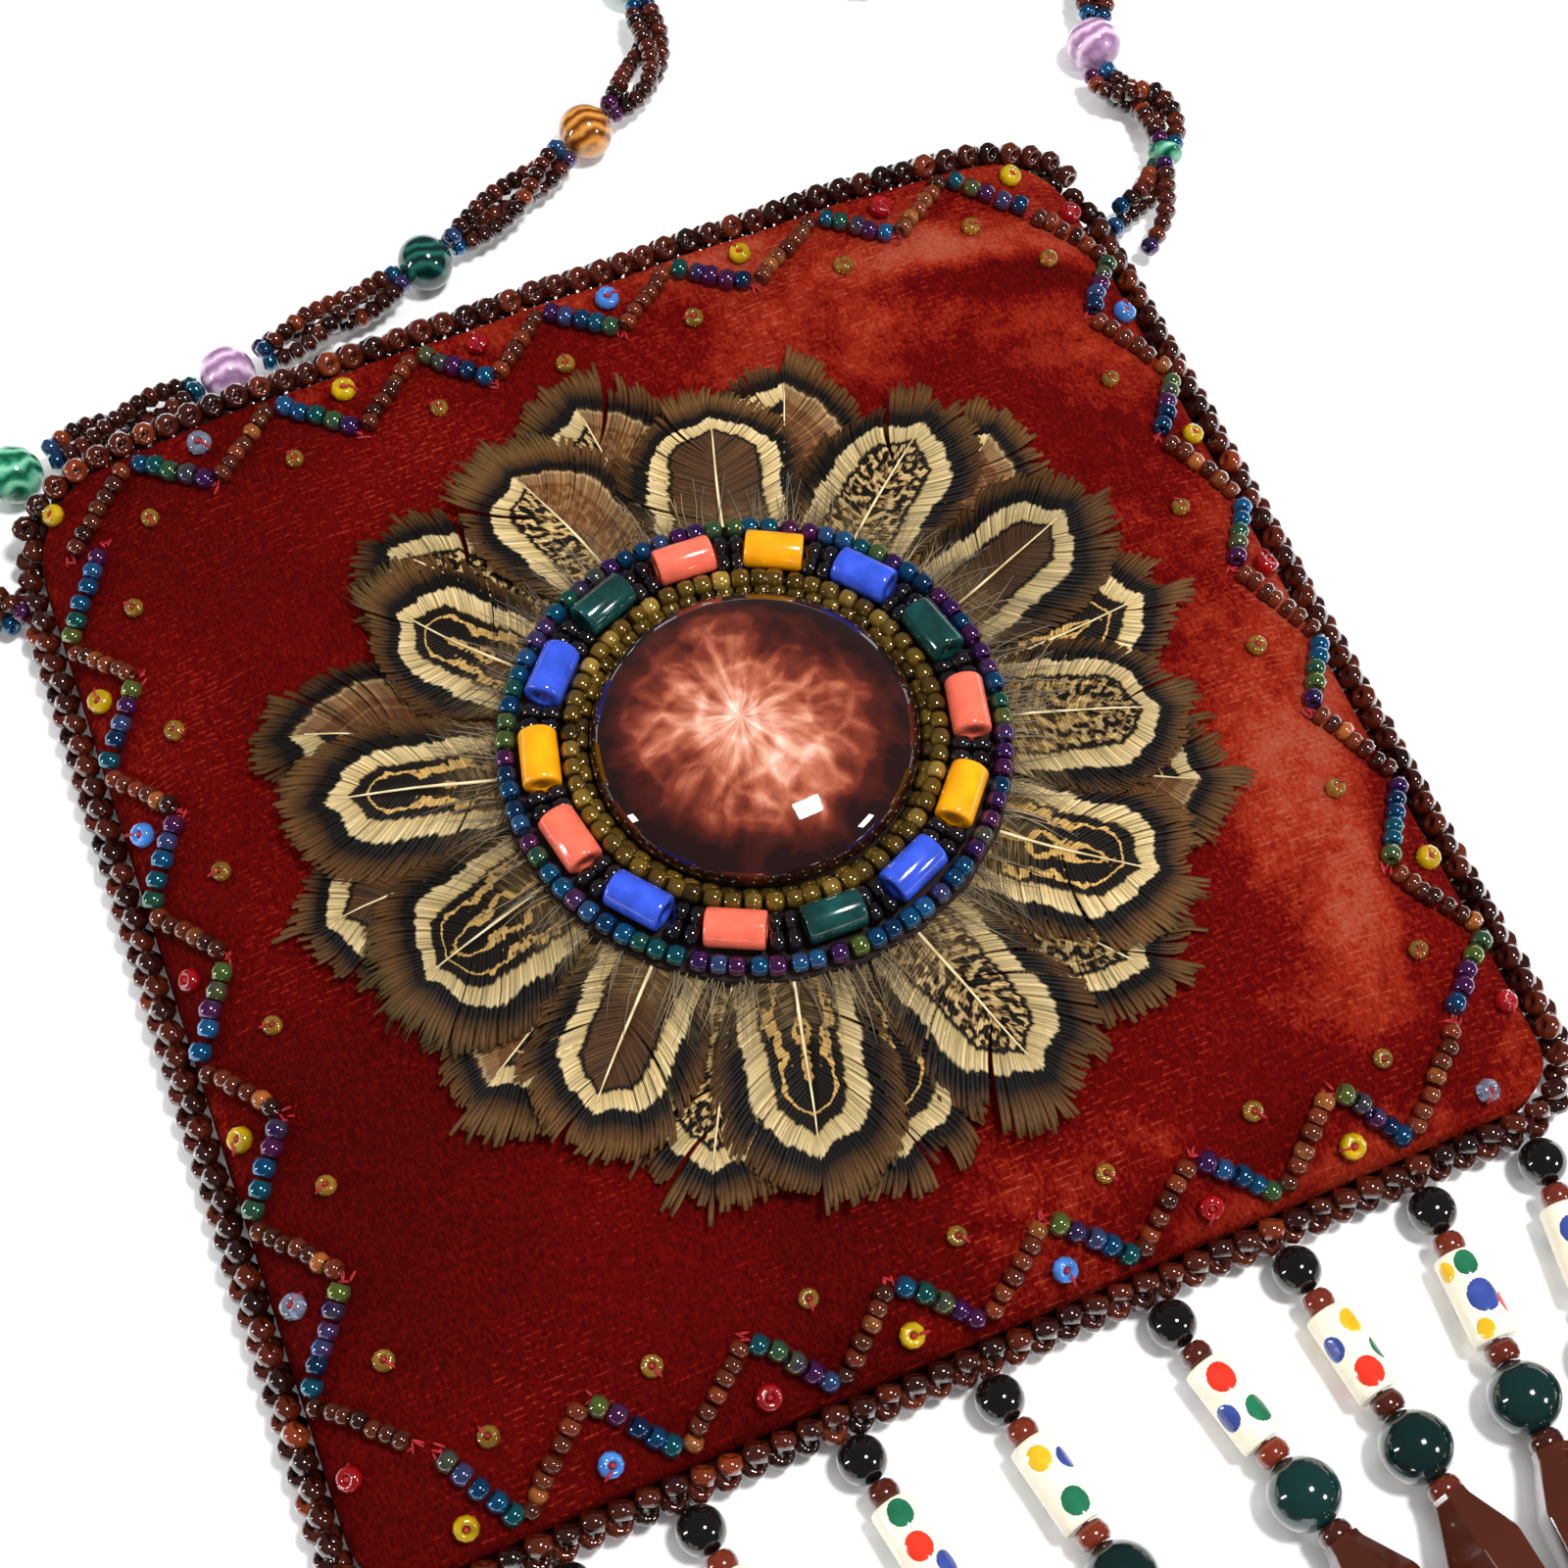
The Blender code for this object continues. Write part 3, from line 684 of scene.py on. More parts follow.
class BAG_OT_edging(bpy.types.Operator):
    """Whip-stitch seed beads over every edge of the pouch"""

    bl_idname = "bag.edging"
    bl_label = "Edge beads"

    def execute(self, context):
        sizes = context.scene.bag_sizes
        glass = materials_once(brown_glass)
        bead = seed_bead_mesh(10, 6)
        chance = random.Random(11)
        rim = [Vector((p.x, p.y, SEAM)) for p in rim_outline(0.0, 60, 14)]
        lower = LOWER_CORNER * 0.3 - HALF_HEIGHT
        upper = HALF_HEIGHT - UPPER_CORNER * 0.7
        left = sorted((p for p in rim if lower < p.y <= upper and p.x < 0), key=lambda p: p.y)
        right = sorted((p for p in rim if lower < p.y <= upper and p.x > 0), key=lambda p: p.y)
        bottom = sorted((p for p in rim if p.y <= lower), key=lambda p: math.atan2(p.x, -p.y - 0.05))
        back = sorted((p for p in rim if p.y > upper), key=lambda p: p.x)
        lip = HALF_HEIGHT - 0.0006
        reach = HALF_WIDTH - CLOTH_EDGE
        front = []
        for i in range(61):
            x = lean_at(lip) + reach * (i / 30 - 1) * 0.998
            drop = 0.0030 * abs(i / 30 - 1) ** 14
            front.append(Vector((x, lip + 0.0006 - drop, on_velvet(x, lip).z - 0.0006)))

        def level_out(centre, direction):
            side = direction.cross(Vector((0, 0, 1))).normalized()
            return side if side.dot(Vector((centre.x, centre.y, 0))) > 0 else -side

        runs = (
            ("edge_beads_left", left, "edging_left"),
            ("edge_beads_right", right, "edging_right"),
            ("edge_beads_bottom", bottom, "edging_bottom"),
            ("mouth_beads_back", back, "mouth_edging_back"),
            ("mouth_beads_front", front, "mouth_edging_front"),
        )
        for name, line, node in runs:
            if node == "mouth_edging_back":
                line = [p - Vector((0, 0, 0.0002)) for p in line]
            placements, tints = stitch_beads(line, level_out, sizes.edge_bead / 2, sizes.edge_stitch, chance)
            piece(name, copies(name, bead, placements, tints), glass, [node])
        return {"FINISHED"}


# The zigzag: along each side, where its corners lie (inner and outer by turns), how far in the inner ones
# are, the glass of the first leg and the single bead beyond each inner corner
ZIGZAG = {
    "top": (
        (-66.0, -55.2, -46.3, -36.1, -27.1, -16.9, -9.0, 0.2, 8.8, 17.9, 27.4, 39.0, 47.5, 57.4, 66.5),
        (11.0, 10.3, 10.6, 10.0, 9.2, 9.2, 9.0, 10.2),
        "brown",
        "ycyrbyry",
    ),
    "bottom": (
        (-62.8, -57.3, -46.5, -38.6, -28.3, -20.4, -11.4, -2.7, 7.0, 15.4, 25.0, 33.8, 42.8, 50.2, 60.6),
        (11.4, 10.3, 9.6, 9.2, 8.8, 8.8, 9.4, 11.4),
        "iris",
        "ybrybryc",
    ),
    "left": (
        (61.0, 50.6, 41.3, 32.2, 21.9, 12.2, 1.8, -8.6, -19.0, -28.9, -39.6, -49.9, -59.5),
        (9.6, 8.5, 8.2, 8.4, 9.0, 9.8, 10.8),
        "iris",
        " ybrycr",
    ),
    "right": (
        (62.0, 53.7, 44.6, 33.8, 23.6, 12.8, 2.5, -8.8, -19.2, -30.0, -41.2, -51.7, -60.6),
        (9.8, 8.6, 8.3, 8.3, 8.6, 9.6, 11.2),
        "brown",
        "rbyr yr",
    ),
}
OUTER_INSET = 0.0019


def zigzag_corners(side):
    """The zigzag's corners on one side of the panel."""
    runs, insets, _, _ = ZIGZAG[side]
    corners = []
    for i, run in enumerate(runs):
        inset = OUTER_INSET if i % 2 else insets[i // 2] / 1000
        along_side = run / 1000
        if side in ("left", "right"):
            x = math.copysign(HALF_WIDTH - inset, -1 if side == "left" else 1)
            corners.append(Vector((x + lean_at(along_side), along_side)))
        else:
            y = math.copysign(HALF_HEIGHT - inset, -1 if side == "bottom" else 1)
            corners.append(Vector((along_side, y)))
    return corners


class BAG_OT_embroidery(bpy.types.Operator):
    """Sew the zigzag and the single beads between its teeth"""

    bl_idname = "bag.embroidery"
    bl_label = "Zigzag and dots"

    def execute(self, context):
        sizes = context.scene.bag_sizes
        bead = seed_bead_mesh(10, 6)
        chance = random.Random(21)
        brown = materials_once(amber_brown_glass)
        iris = materials_once(iris_glass)
        thread = materials_once(red_thread)
        radius = sizes.zigzag_bead / 2
        stitch = made_by(bpy.ops.mesh.primitive_uv_sphere_add, segments=6, ring_count=4, radius=1.0)
        dots = []
        for side in ("top", "bottom", "left", "right"):
            corners = zigzag_corners(side)
            legs = {"brown": ([], []), "iris": ([], [])}
            stitches = []
            first = ZIGZAG[side][2]
            other = "iris" if first == "brown" else "brown"
            for i, (a, b) in enumerate(zip(corners, corners[1:])):
                kind = other if i % 2 else first
                a, b = a.lerp(b, 0.05), a.lerp(b, 0.95)
                drop = on_velvet(*a).z - on_velvet(*b).z
                leg = math.hypot((b - a).length, drop)
                count = round(leg / (0.0018 if kind == "brown" else 0.0022))
                shade = chance.random()
                for k in range(count):
                    t = (k + 0.5) / count
                    size = radius * (1.0 if kind == "brown" else 1.1) * chance.uniform(0.92, 1.05)
                    flat = a.lerp(b, t) + Vector((chance.uniform(-1, 1), chance.uniform(-1, 1))) * 0.00018
                    here = on_velvet(flat.x, flat.y, size * 0.85)
                    ahead = on_velvet(*a.lerp(b, t + 0.05), size * 0.85) - on_velvet(*a.lerp(b, t - 0.05), size * 0.85)
                    half = leg / count / 2 / BEAD_HALF
                    frame_here = axis_frame(here, ahead, chance.uniform(0, 3), (size, size, half))
                    legs[kind][0].append(frame_here)
                    wander = chance.random() if kind == "brown" else (shade + 0.16 * k + chance.uniform(-0.1, 0.1)) % 1
                    legs[kind][1].append(wander)
            for i in range(0, len(corners), 2):
                for _ in range(4):
                    flat = corners[i] + Vector((chance.uniform(-1, 1), chance.uniform(-1, 1))) * 0.0007
                    turn = Vector((chance.uniform(-1, 1), chance.uniform(-1, 1), 0.2))
                    size = (0.0002, 0.0002, chance.uniform(0.0005, 0.0009))
                    stitches.append(axis_frame(on_velvet(flat.x, flat.y, 0.0003), turn, 0.0, size))
            zigzag = joined(
                f"zigzag_beads_{side}",
                [
                    copies("brown", bead, *legs["brown"]),
                    copies("iris", bead, *legs["iris"]),
                    copies("thread", stitch, stitches, [0.5] * len(stitches)),
                ],
                [brown, iris, thread],
            )
            settle(zigzag, f"zigzag_beads_{side}", [f"zigzag_{side}"])
            self.plan_dots(side, corners, dots)
        self.add_dots(dots, sizes.dot_bead / 2, bead, stitch, chance)
        return {"FINISHED"}

    def plan_dots(self, side, corners, dots):
        """One bead in each triangle: bright ones towards the edge, amber ones towards the middle."""
        _, insets, _, kinds = ZIGZAG[side]
        outward = {"top": (0, 1), "bottom": (0, -1), "left": (-1, 0), "right": (1, 0)}[side]
        out = Vector(outward)
        for i, corner in enumerate(corners):
            if i % 2:
                dots.append((corner - out * 0.0088, "a"))
            elif kinds[i // 2] != " ":
                dots.append((corner + out * (insets[i // 2] / 1000 - 0.0036), kinds[i // 2]))

    def add_dots(self, dots, radius, bead, stitch, chance):
        colours = {
            "y": ("yellow_glass", "e0b400", 0.35),
            "b": ("sky_blue_lined_glass", "4a90e8", 0.25),
            "r": ("ruby_glass", "b00810", 0.35),
            "c": ("clear_glass", "b8c4e0", 0.75),
            "a": ("amber_glass", "b8862a", 0.60),
        }
        meshes = []
        looks = []
        hearts = []
        for kind, (name, code, clear) in colours.items():
            placements = []
            for flat, its_kind in dots:
                if its_kind != kind:
                    continue
                size = radius * (0.82 if kind == "a" else 1.0) * chance.uniform(0.92, 1.06)
                up = velvet_normal(flat.x, flat.y) + Vector((chance.uniform(-1, 1), chance.uniform(-1, 1), 0)) * 0.25
                here = on_velvet(flat.x, flat.y, size * 0.55)
                placements.append(axis_frame(here, up, 0.0, (size, size, size * 0.95)))
                hearts.append(axis_frame(here, up, 0.0, (size * 0.30, size * 0.30, size * 0.62)))
                side = Vector((chance.uniform(-1, 1), chance.uniform(-1, 1), 0)).normalized()
                over = here + side * size * 0.75 + up.normalized() * size * 0.45
                hearts.append(axis_frame(over, side - up * 0.5, 0.0, (0.00022, 0.00022, size * 0.55)))
            made, tree, shader = new_material(
                name, Roughness=0.05, Transmission_Weight=clear, IOR=1.5, Coat_Weight=1.0
            )
            place = add_node(tree, "ShaderNodeTexCoord")
            cloud = add_node(tree, "ShaderNodeTexNoise", {"Scale": 420.0}, [("Vector", place.outputs["Object"])])
            ramp = add_node(tree, "ShaderNodeValToRGB", {}, [("Fac", cloud.outputs["Fac"])])
            dark = "".join(f"{int(int(code[i:i + 2], 16) * 0.72):02x}" for i in (0, 2, 4))
            set_stops(ramp, ((0.3, dark), (0.7, code)))
            tree.links.new(ramp.outputs["Color"], shader.inputs["Base Color"])
            meshes.append(copies(name, bead, placements, [0.5] * len(placements)))
            looks.append(made)
        meshes.append(copies("dot_thread", stitch, hearts, [0.5] * len(hearts)))
        looks.append(materials_once(red_thread))
        settle(joined("dot_beads", meshes, looks), "dot_beads")


def red_thread():
    """Twisted polyester thread: a matt red with fine plies."""
    made, tree, shader = new_material("red_sewing_thread", Roughness=0.7)
    place = add_node(tree, "ShaderNodeTexCoord")
    plies = add_node(tree, "ShaderNodeTexNoise", {"Scale": 2500.0}, [("Vector", place.outputs["Object"])])
    ramp = add_node(tree, "ShaderNodeValToRGB", {}, [("Fac", plies.outputs["Fac"])])
    set_stops(ramp, ((0.3, "66060e"), (0.7, "b4121e")))
    tree.links.new(ramp.outputs["Color"], shader.inputs["Base Color"])
    return made


def dark_thread():
    """Waxed nylon thread, nearly black, with a soft gleam."""
    made, tree, shader = new_material("waxed_thread", Roughness=0.45)
    place = add_node(tree, "ShaderNodeTexCoord")
    plies = add_node(tree, "ShaderNodeTexNoise", {"Scale": 2200.0}, [("Vector", place.outputs["Object"])])
    ramp = add_node(tree, "ShaderNodeValToRGB", {}, [("Fac", plies.outputs["Fac"])])
    set_stops(ramp, ((0.3, "170c09"), (0.7, "3b1c14")))
    tree.links.new(ramp.outputs["Color"], shader.inputs["Base Color"])
    return made


def glaze(name, code, mottle=0.12):
    """Fired glaze over clay: glossy, with faint clouds and specks of thinner colour."""
    made, tree, shader = new_material(name, Roughness=0.14, Coat_Weight=0.7, IOR=1.5)
    shader.inputs["Coat Roughness"].default_value = 0.05
    place = add_node(tree, "ShaderNodeTexCoord")
    cloud = add_node(tree, "ShaderNodeTexNoise", {"Scale": 380.0, "Detail": 4.0}, [("Vector", place.outputs["Object"])])
    ramp = add_node(tree, "ShaderNodeValToRGB", {}, [("Fac", cloud.outputs["Fac"])])
    parts = [int(code[i:i + 2], 16) for i in (0, 2, 4)]
    deep = "".join(f"{int(p * (1 - mottle)):02x}" for p in parts)
    pale = "".join(f"{min(255, int(p * (1 + mottle) + 10 * mottle)):02x}" for p in parts)
    set_stops(ramp, ((0.25, deep), (0.55, code), (0.85, pale)))
    tree.links.new(ramp.outputs["Color"], shader.inputs["Base Color"])
    return made


def ring_placements(radius, height, count, size, length_scale, chance, phase=0.0):
    """Beads strung in a circle, each on the tangent."""
    placements = []
    for i in range(count):
        angle = phase + 2 * math.pi * (i + chance.uniform(-0.12, 0.12)) / count
        grown = size * chance.uniform(0.95, 1.05)
        place = Vector((radius * math.cos(angle), radius * math.sin(angle), height + chance.uniform(-1, 1) * 0.0001))
        tangent = Vector((-math.sin(angle), math.cos(angle), chance.uniform(-0.08, 0.08)))
        placements.append(axis_frame(place, tangent, chance.uniform(0, 3), (grown, grown, grown * length_scale)))
    return placements


class BAG_OT_medallion(bpy.types.Operator):
    """Set the cabochon and string the bead rings round it"""

    bl_idname = "bag.medallion"
    bl_label = "Medallion"

    def execute(self, context):
        chance = random.Random(31)
        bead = seed_bead_mesh(12, 8)
        base = MEDALLION_FLOOR + 0.0003
        self.add_felt()
        self.add_cabochon()
        gold = bead_glass(
            "gold_lined_amber_beads",
            ((0.0, "3e2c0a"), (0.4, "86661e"), (0.7, "5e4814"), (1.0, "c8a048")),
            0.10,
            0.10,
            0.55,
        )
        upper = ring_placements(0.0215, base + 0.0017, 60, 0.00120, 1.38, chance)
        lower = ring_placements(0.0203, base + 0.0008, 58, 0.00095, 1.70, chance, 0.05)
        placements = upper + lower
        tints = [chance.random() for _ in upper] + [0.35 * chance.random() for _ in lower]
        piece("gold_lined_ring", copies("gold", bead, placements, tints), gold, ["gold_bead_ring"])
        placements = ring_placements(0.0291, base + 0.0012, 80, 0.00124, 1.32, chance)
        tints = [(0.5 + 0.5 * math.sin(i * 0.37) + chance.uniform(-0.25, 0.25)) % 1 for i in range(80)]
        iris = copies("iris", bead, placements, tints)
        piece("iris_ring", iris, materials_once(iris_glass), ["iris_bead_ring"])
        self.add_tubes(bead, base, chance)
        return {"FINISHED"}

    def add_felt(self):
        made, tree, shader = new_material("backing_felt", Roughness=0.95)
        place = add_node(tree, "ShaderNodeTexCoord")
        fuzz = add_node(tree, "ShaderNodeTexNoise", {"Scale": 900.0, "Detail": 4.0}, [("Vector", place.outputs["Object"])])
        ramp = add_node(tree, "ShaderNodeValToRGB", {}, [("Fac", fuzz.outputs["Fac"])])
        set_stops(ramp, ((0.3, "120908"), (0.7, "2c1512")))
        tree.links.new(ramp.outputs["Color"], shader.inputs["Base Color"])
        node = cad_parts["medallion_backing"]
        node.data.materials.clear()
        node.data.materials.append(made)

    def add_cabochon(self):
        """Glass dome over a painted ground, drawn as one coated dome that carries the ground's colours: a pale burst
        that sinks into dark red at the rim, with a painted glow round the key lamp's reflection below its middle and
        painted shade at its upper right.
        """
        low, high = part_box("glass_cabochon")
        radius = (high[0] - low[0]) / 2
        rise = high[2] - low[2]
        wall = 0.0016
        points = []
        faces = []
        around = 96
        levels = 22
        for level in range(levels):
            angle = math.radians(90) * level / (levels - 1)
            reach = radius * math.cos(angle)
            height = low[2] + wall + (rise - wall) * math.sin(angle)
            if level == levels - 1:
                points.append(Vector((0, 0, height)))
                continue
            points += [
                Vector((reach * math.cos(2 * math.pi * i / around), reach * math.sin(2 * math.pi * i / around), height))
                for i in range(around)
            ]
        rim = [Vector((p.x * 0.985, p.y * 0.985, low[2])) for p in points[:around]]
        for level in range(levels - 2):
            for i in range(around):
                j = (i + 1) % around
                a = level * around
                faces.append((a + i, a + j, a + around + j, a + around + i))
        top = len(points) - 1
        last = (levels - 2) * around
        faces += [(last + i, last + (i + 1) % around, top) for i in range(around)]
        start = len(points)
        points += rim
        faces += [(start + i, start + (i + 1) % around, (i + 1) % around, i) for i in range(around)]
        faces.append(tuple(start + i for i in reversed(range(around))))
        mesh = mesh_from_arrays("cabochon", points, faces)
        made, tree, shader = new_material("domed_glass_over_paint", Roughness=0.03, IOR=1.52, Coat_Weight=1.0)
        shader.inputs["Coat Roughness"].default_value = 0.01
        place = add_node(tree, "ShaderNodeTexCoord")
        flat = scaled(tree, place.outputs["Object"], (1.0, 1.0, 0.0))
        warp = add_node(tree, "ShaderNodeTexNoise", {"Scale": 190.0, "Detail": 3.0}, [("Vector", flat)])
        shaken = add_node(
            tree,
            "ShaderNodeVectorMath",
            {"operation": "MULTIPLY_ADD", 1: (0.0022, 0.0022, 0.0)},
            [(0, warp.outputs["Color"]), (2, flat)],
        ).outputs[0]
        middle = moved(tree, shaken, (0.0008, -0.0010, 0.0))
        reach = distance_of(tree, middle)
        radial = add_node(tree, "ShaderNodeTexGradient", {"gradient_type": "RADIAL"}, [("Vector", middle)]).outputs["Fac"]
        polar = add_node(tree, "ShaderNodeCombineXYZ", {}, [("X", radial), ("Y", reach)]).outputs[0]
        rays = noise(tree, scaled(tree, polar, (24.0, 150.0, 1.0)), 1.0, 5.0)
        clouds = noise(tree, flat, 150.0, 4.0, 0.6)
        cells = add_node(tree, "ShaderNodeTexVoronoi", {"feature": "DISTANCE_TO_EDGE", "Scale": 240.0}, [("Vector", shaken)])
        veins = mapped(tree, cells.outputs["Distance"], 0.0, 0.22, 0.11, 0.0)
        heart = mapped(tree, reach, 0.0, 0.0120, 0.23, -0.12)
        # Painted light: a brighter patch below the middle of the dome, round the key lamp's reflection.
        painted_glow_place = moved(tree, shaken, (-0.0014, 0.0066, 0.0))
        painted_glow_reach = distance_of(tree, painted_glow_place)
        lower = mapped(tree, painted_glow_reach, 0.0, 0.0130, 0.22, -0.26)
        glow = math_of(tree, "MAXIMUM", heart, lower)
        from_middle = distance_of(tree, flat)
        edge = mapped(tree, from_middle, 0.0135, 0.0180, 0.0, -0.42)
        side = moved(tree, flat, (-0.0125, -0.0090, 0.0))
        side_reach = distance_of(tree, side)
        shadow = mapped(tree, side_reach, 0.0, 0.0110, -0.34, 0.0)
        grain = math_of(tree, "ADD", math_of(tree, "MULTIPLY", rays, 0.62), math_of(tree, "MULTIPLY", clouds, 0.45))
        lit = math_of(tree, "ADD", math_of(tree, "ADD", grain, glow), math_of(tree, "ADD", edge, shadow))
        share = math_of(tree, "ADD", lit, veins)
        painted = ramp_of(
            tree,
            share,
            (
                (0.10, "1c0706"),
                (0.34, "42140d"),
                (0.50, "722e1e"),
                (0.64, "a65c44"),
                (0.80, "d69e88"),
                (0.96, "f6dccd"),
            ),
        )
        tree.links.new(painted, shader.inputs["Base Color"])
        piece("cabochon", mesh, made, ["glass_cabochon"])

    def add_tubes(self, bead, base, chance):
        order = ("coral", "orange", "blue", "green") * 2 + ("coral", "blue") + ("coral", "orange", "blue", "green")
        looks = {
            "coral": glaze("coral_glaze", "e4664f"),
            "orange": glaze("orange_glaze", "f09a08"),
            "blue": glaze("blue_glaze", "3350c8", 0.2),
            "green": glaze("dark_green_glaze", "0d3a38", 0.4),
        }
        tube = tube_bead_mesh()
        placed = {name: [] for name in looks}
        black = []
        for i, name in enumerate(order):
            angle = math.pi / 2 - 2 * math.pi * (i + 0.12) / TUBE_COUNT + chance.uniform(-0.015, 0.015)
            place = Vector((0.0251 * math.cos(angle), 0.0251 * math.sin(angle), base + 0.0023))
            tangent = Vector((-math.sin(angle), math.cos(angle), chance.uniform(-0.05, 0.05)))
            placed[name].append(axis_frame(place, tangent, chance.uniform(0, 3), (0.0023, 0.0023, 0.0035)))
            for step in (-0.5, 0.5):
                between = angle - math.pi / TUBE_COUNT + step * 0.075
                for row in (0.0240, 0.0263):
                    place = Vector((row * math.cos(between), row * math.sin(between), base + 0.0013))
                    tangent = Vector((-math.sin(between), math.cos(between), 0))
                    black.append(axis_frame(place, tangent, chance.uniform(0, 3), (0.00138, 0.00138, 0.0013)))
        jet = bead_glass("jet_glass_beads", ((0.0, "050405"), (1.0, "151014")), 0.08, 0.0)
        meshes = [copies(name, tube, places, [0.5] * len(places)) for name, places in placed.items()]
        meshes.append(copies("jet", bead, black, [chance.random() for _ in black]))
        ring = joined("ceramic_tubes", meshes, [looks[name] for name in placed] + [jet])
        settle(ring, "ceramic_tubes", ["ceramic_tube_ring"])


def pheasant():
    """Pheasant breast feather: flecked or ringed heart, cream band, black rim, olive brown fringe of fine barbs."""
    made, tree, shader = new_material("pheasant_feather", Roughness=0.6)
    shader.inputs["Specular IOR Level"].default_value = 0.2
    place = add_node(tree, "ShaderNodeUVMap", {"uv_map": "place"}).outputs["UV"]
    barb = add_node(tree, "ShaderNodeUVMap", {"uv_map": "barb"}).outputs["UV"]
    look = add_node(tree, "ShaderNodeUVMap", {"uv_map": "look"}).outputs["UV"]
    flat = add_node(tree, "ShaderNodeSeparateXYZ", {}, [(0, place)])
    kind = add_node(tree, "ShaderNodeSeparateXYZ", {}, [(0, look)])
    # each barb carries the pattern a little further out or in than the next one
    step = noise(tree, scaled(tree, barb, (42.0, 0.4, 1.0)), 1.0, 2.0)
    wander = noise(tree, scaled(tree, barb, (6.0, 2.0, 1.0)), 1.0, 2.0)
    shift = math_of(tree, "ADD", mapped(tree, step, 0.3, 0.7, -0.016, 0.016), mapped(tree, wander, 0.3, 0.7, -0.02, 0.02))
    depth = math_of(tree, "ADD", flat.outputs["Y"], shift)
    bands = ramp_of(
        tree,
        depth,
        (
            (0.340, "1a110b"),
            (0.372, "1a110b"),
            (0.388, "c4a971"),
            (0.492, "d6bd8a"),
            (0.506, "0d0a07"),
            (0.580, "120c07"),
            (0.620, "3a2410"),
            (0.740, "66431f"),
            (0.930, "584624"),
        ),
    )
    flecks = noise(tree, scaled(tree, barb, (34.0, 11.0, 1.0)), 1.0, 1.5, 0.3)
    flecked = ramp_of(tree, flecks, ((0.47, "110b07"), (0.51, "846030"), (0.58, "ceb076")))
    wavy = mapped(tree, noise(tree, scaled(tree, place, (7.0, 9.0, 1.0)), 1.0, 3.0), 0.3, 0.7, -0.06, 0.06)
    turned = math_of(tree, "MULTIPLY", math_of(tree, "ADD", depth, wavy), 48.0)
    rings = add_node(tree, "ShaderNodeMath", {"operation": "SINE"}, [(0, turned)]).outputs[0]
    ringed = ramp_of(tree, rings, ((0.20, "140d08"), (0.45, "4a2e18"), (0.72, "c8a05a")))
    dark = ramp_of(tree, step, ((0.3, "2a1a0f"), (0.7, "5e3c20")))
    first = blend_colours(tree, mapped(tree, kind.outputs["X"], 0.45, 0.50), ringed, flecked)
    heart = blend_colours(tree, mapped(tree, kind.outputs["X"], 0.86, 0.90), first, dark)
    patterned = blend_colours(tree, mapped(tree, depth, 0.345, 0.355), heart, bands)
    rust = ramp_of(tree, step, ((0.25, "3c2110"), (0.5, "6e4120"), (0.8, "8a5c30")))
    sides = add_node(tree, "ShaderNodeSeparateXYZ", {}, [(0, barb)])
    on_left = math_of(tree, "LESS_THAN", sides.outputs["X"], 0.0)
    spread = math_of(tree, "MULTIPLY", kind.outputs["X"], 7.0)
    part = add_node(tree, "ShaderNodeMath", {"operation": "FRACT"}, [(0, spread)]).outputs[0]
    chosen = math_of(tree, "LESS_THAN", part, 0.26)
    inner = mapped(tree, depth, 0.47, 0.53, 0.85, 0.0)
    rusty = math_of(tree, "MULTIPLY", math_of(tree, "MULTIPLY", on_left, chosen), inner)
    patterned = blend_colours(tree, rusty, patterned, rust)
    streak = noise(tree, scaled(tree, barb, (190.0, 1.2, 1.0)), 1.0, 2.0)
    lit = mapped(tree, streak, 0.30, 0.70, 0.40, 1.25)
    tone = math_of(tree, "MULTIPLY", lit, kind.outputs["Y"])
    coloured = add_node(tree, "ShaderNodeVectorMath", {"operation": "SCALE"}, [(0, patterned), ("Scale", tone)]).outputs[0]
    down = noise(tree, scaled(tree, barb, (70.0, 5.0, 1.0)), 1.0, 3.0, 0.6)
    downy = ramp_of(tree, down, ((0.3, "2c2012"), (0.5, "5e4828"), (0.72, "987c4c")))
    uneven = mapped(tree, step, 0.2, 0.8, -0.09, 0.09)
    rooted = mapped(tree, math_of(tree, "ADD", flat.outputs["X"], uneven), 0.16, 0.44, 0.9, 0.0)
    finished = blend_colours(tree, rooted, coloured, downy)
    tree.links.new(finished, shader.inputs["Base Color"])
    # towards the tips the barbs part, and the panel shows between them
    gaps = noise(tree, scaled(tree, barb, (240.0, 0.6, 1.0)), 1.0, 1.0)
    fringe = mapped(tree, depth, 0.72, 0.98, 0.0, 0.50)
    open_share = mapped(tree, math_of(tree, "SUBTRACT", gaps, fringe), 0.10, 0.16)
    tree.links.new(open_share, shader.inputs["Alpha"])
    return made


def quill_ivory():
    made, tree, shader = new_material("feather_quill", Roughness=0.4)
    place = add_node(tree, "ShaderNodeTexCoord")
    wear = add_node(tree, "ShaderNodeTexNoise", {"Scale": 300.0}, [("Vector", place.outputs["Object"])])
    ramp = add_node(tree, "ShaderNodeValToRGB", {}, [("Fac", wear.outputs["Fac"])])
    set_stops(ramp, ((0.3, "b39a68"), (0.7, "e6d7ae")))
    tree.links.new(ramp.outputs["Color"], shader.inputs["Base Color"])
    return made


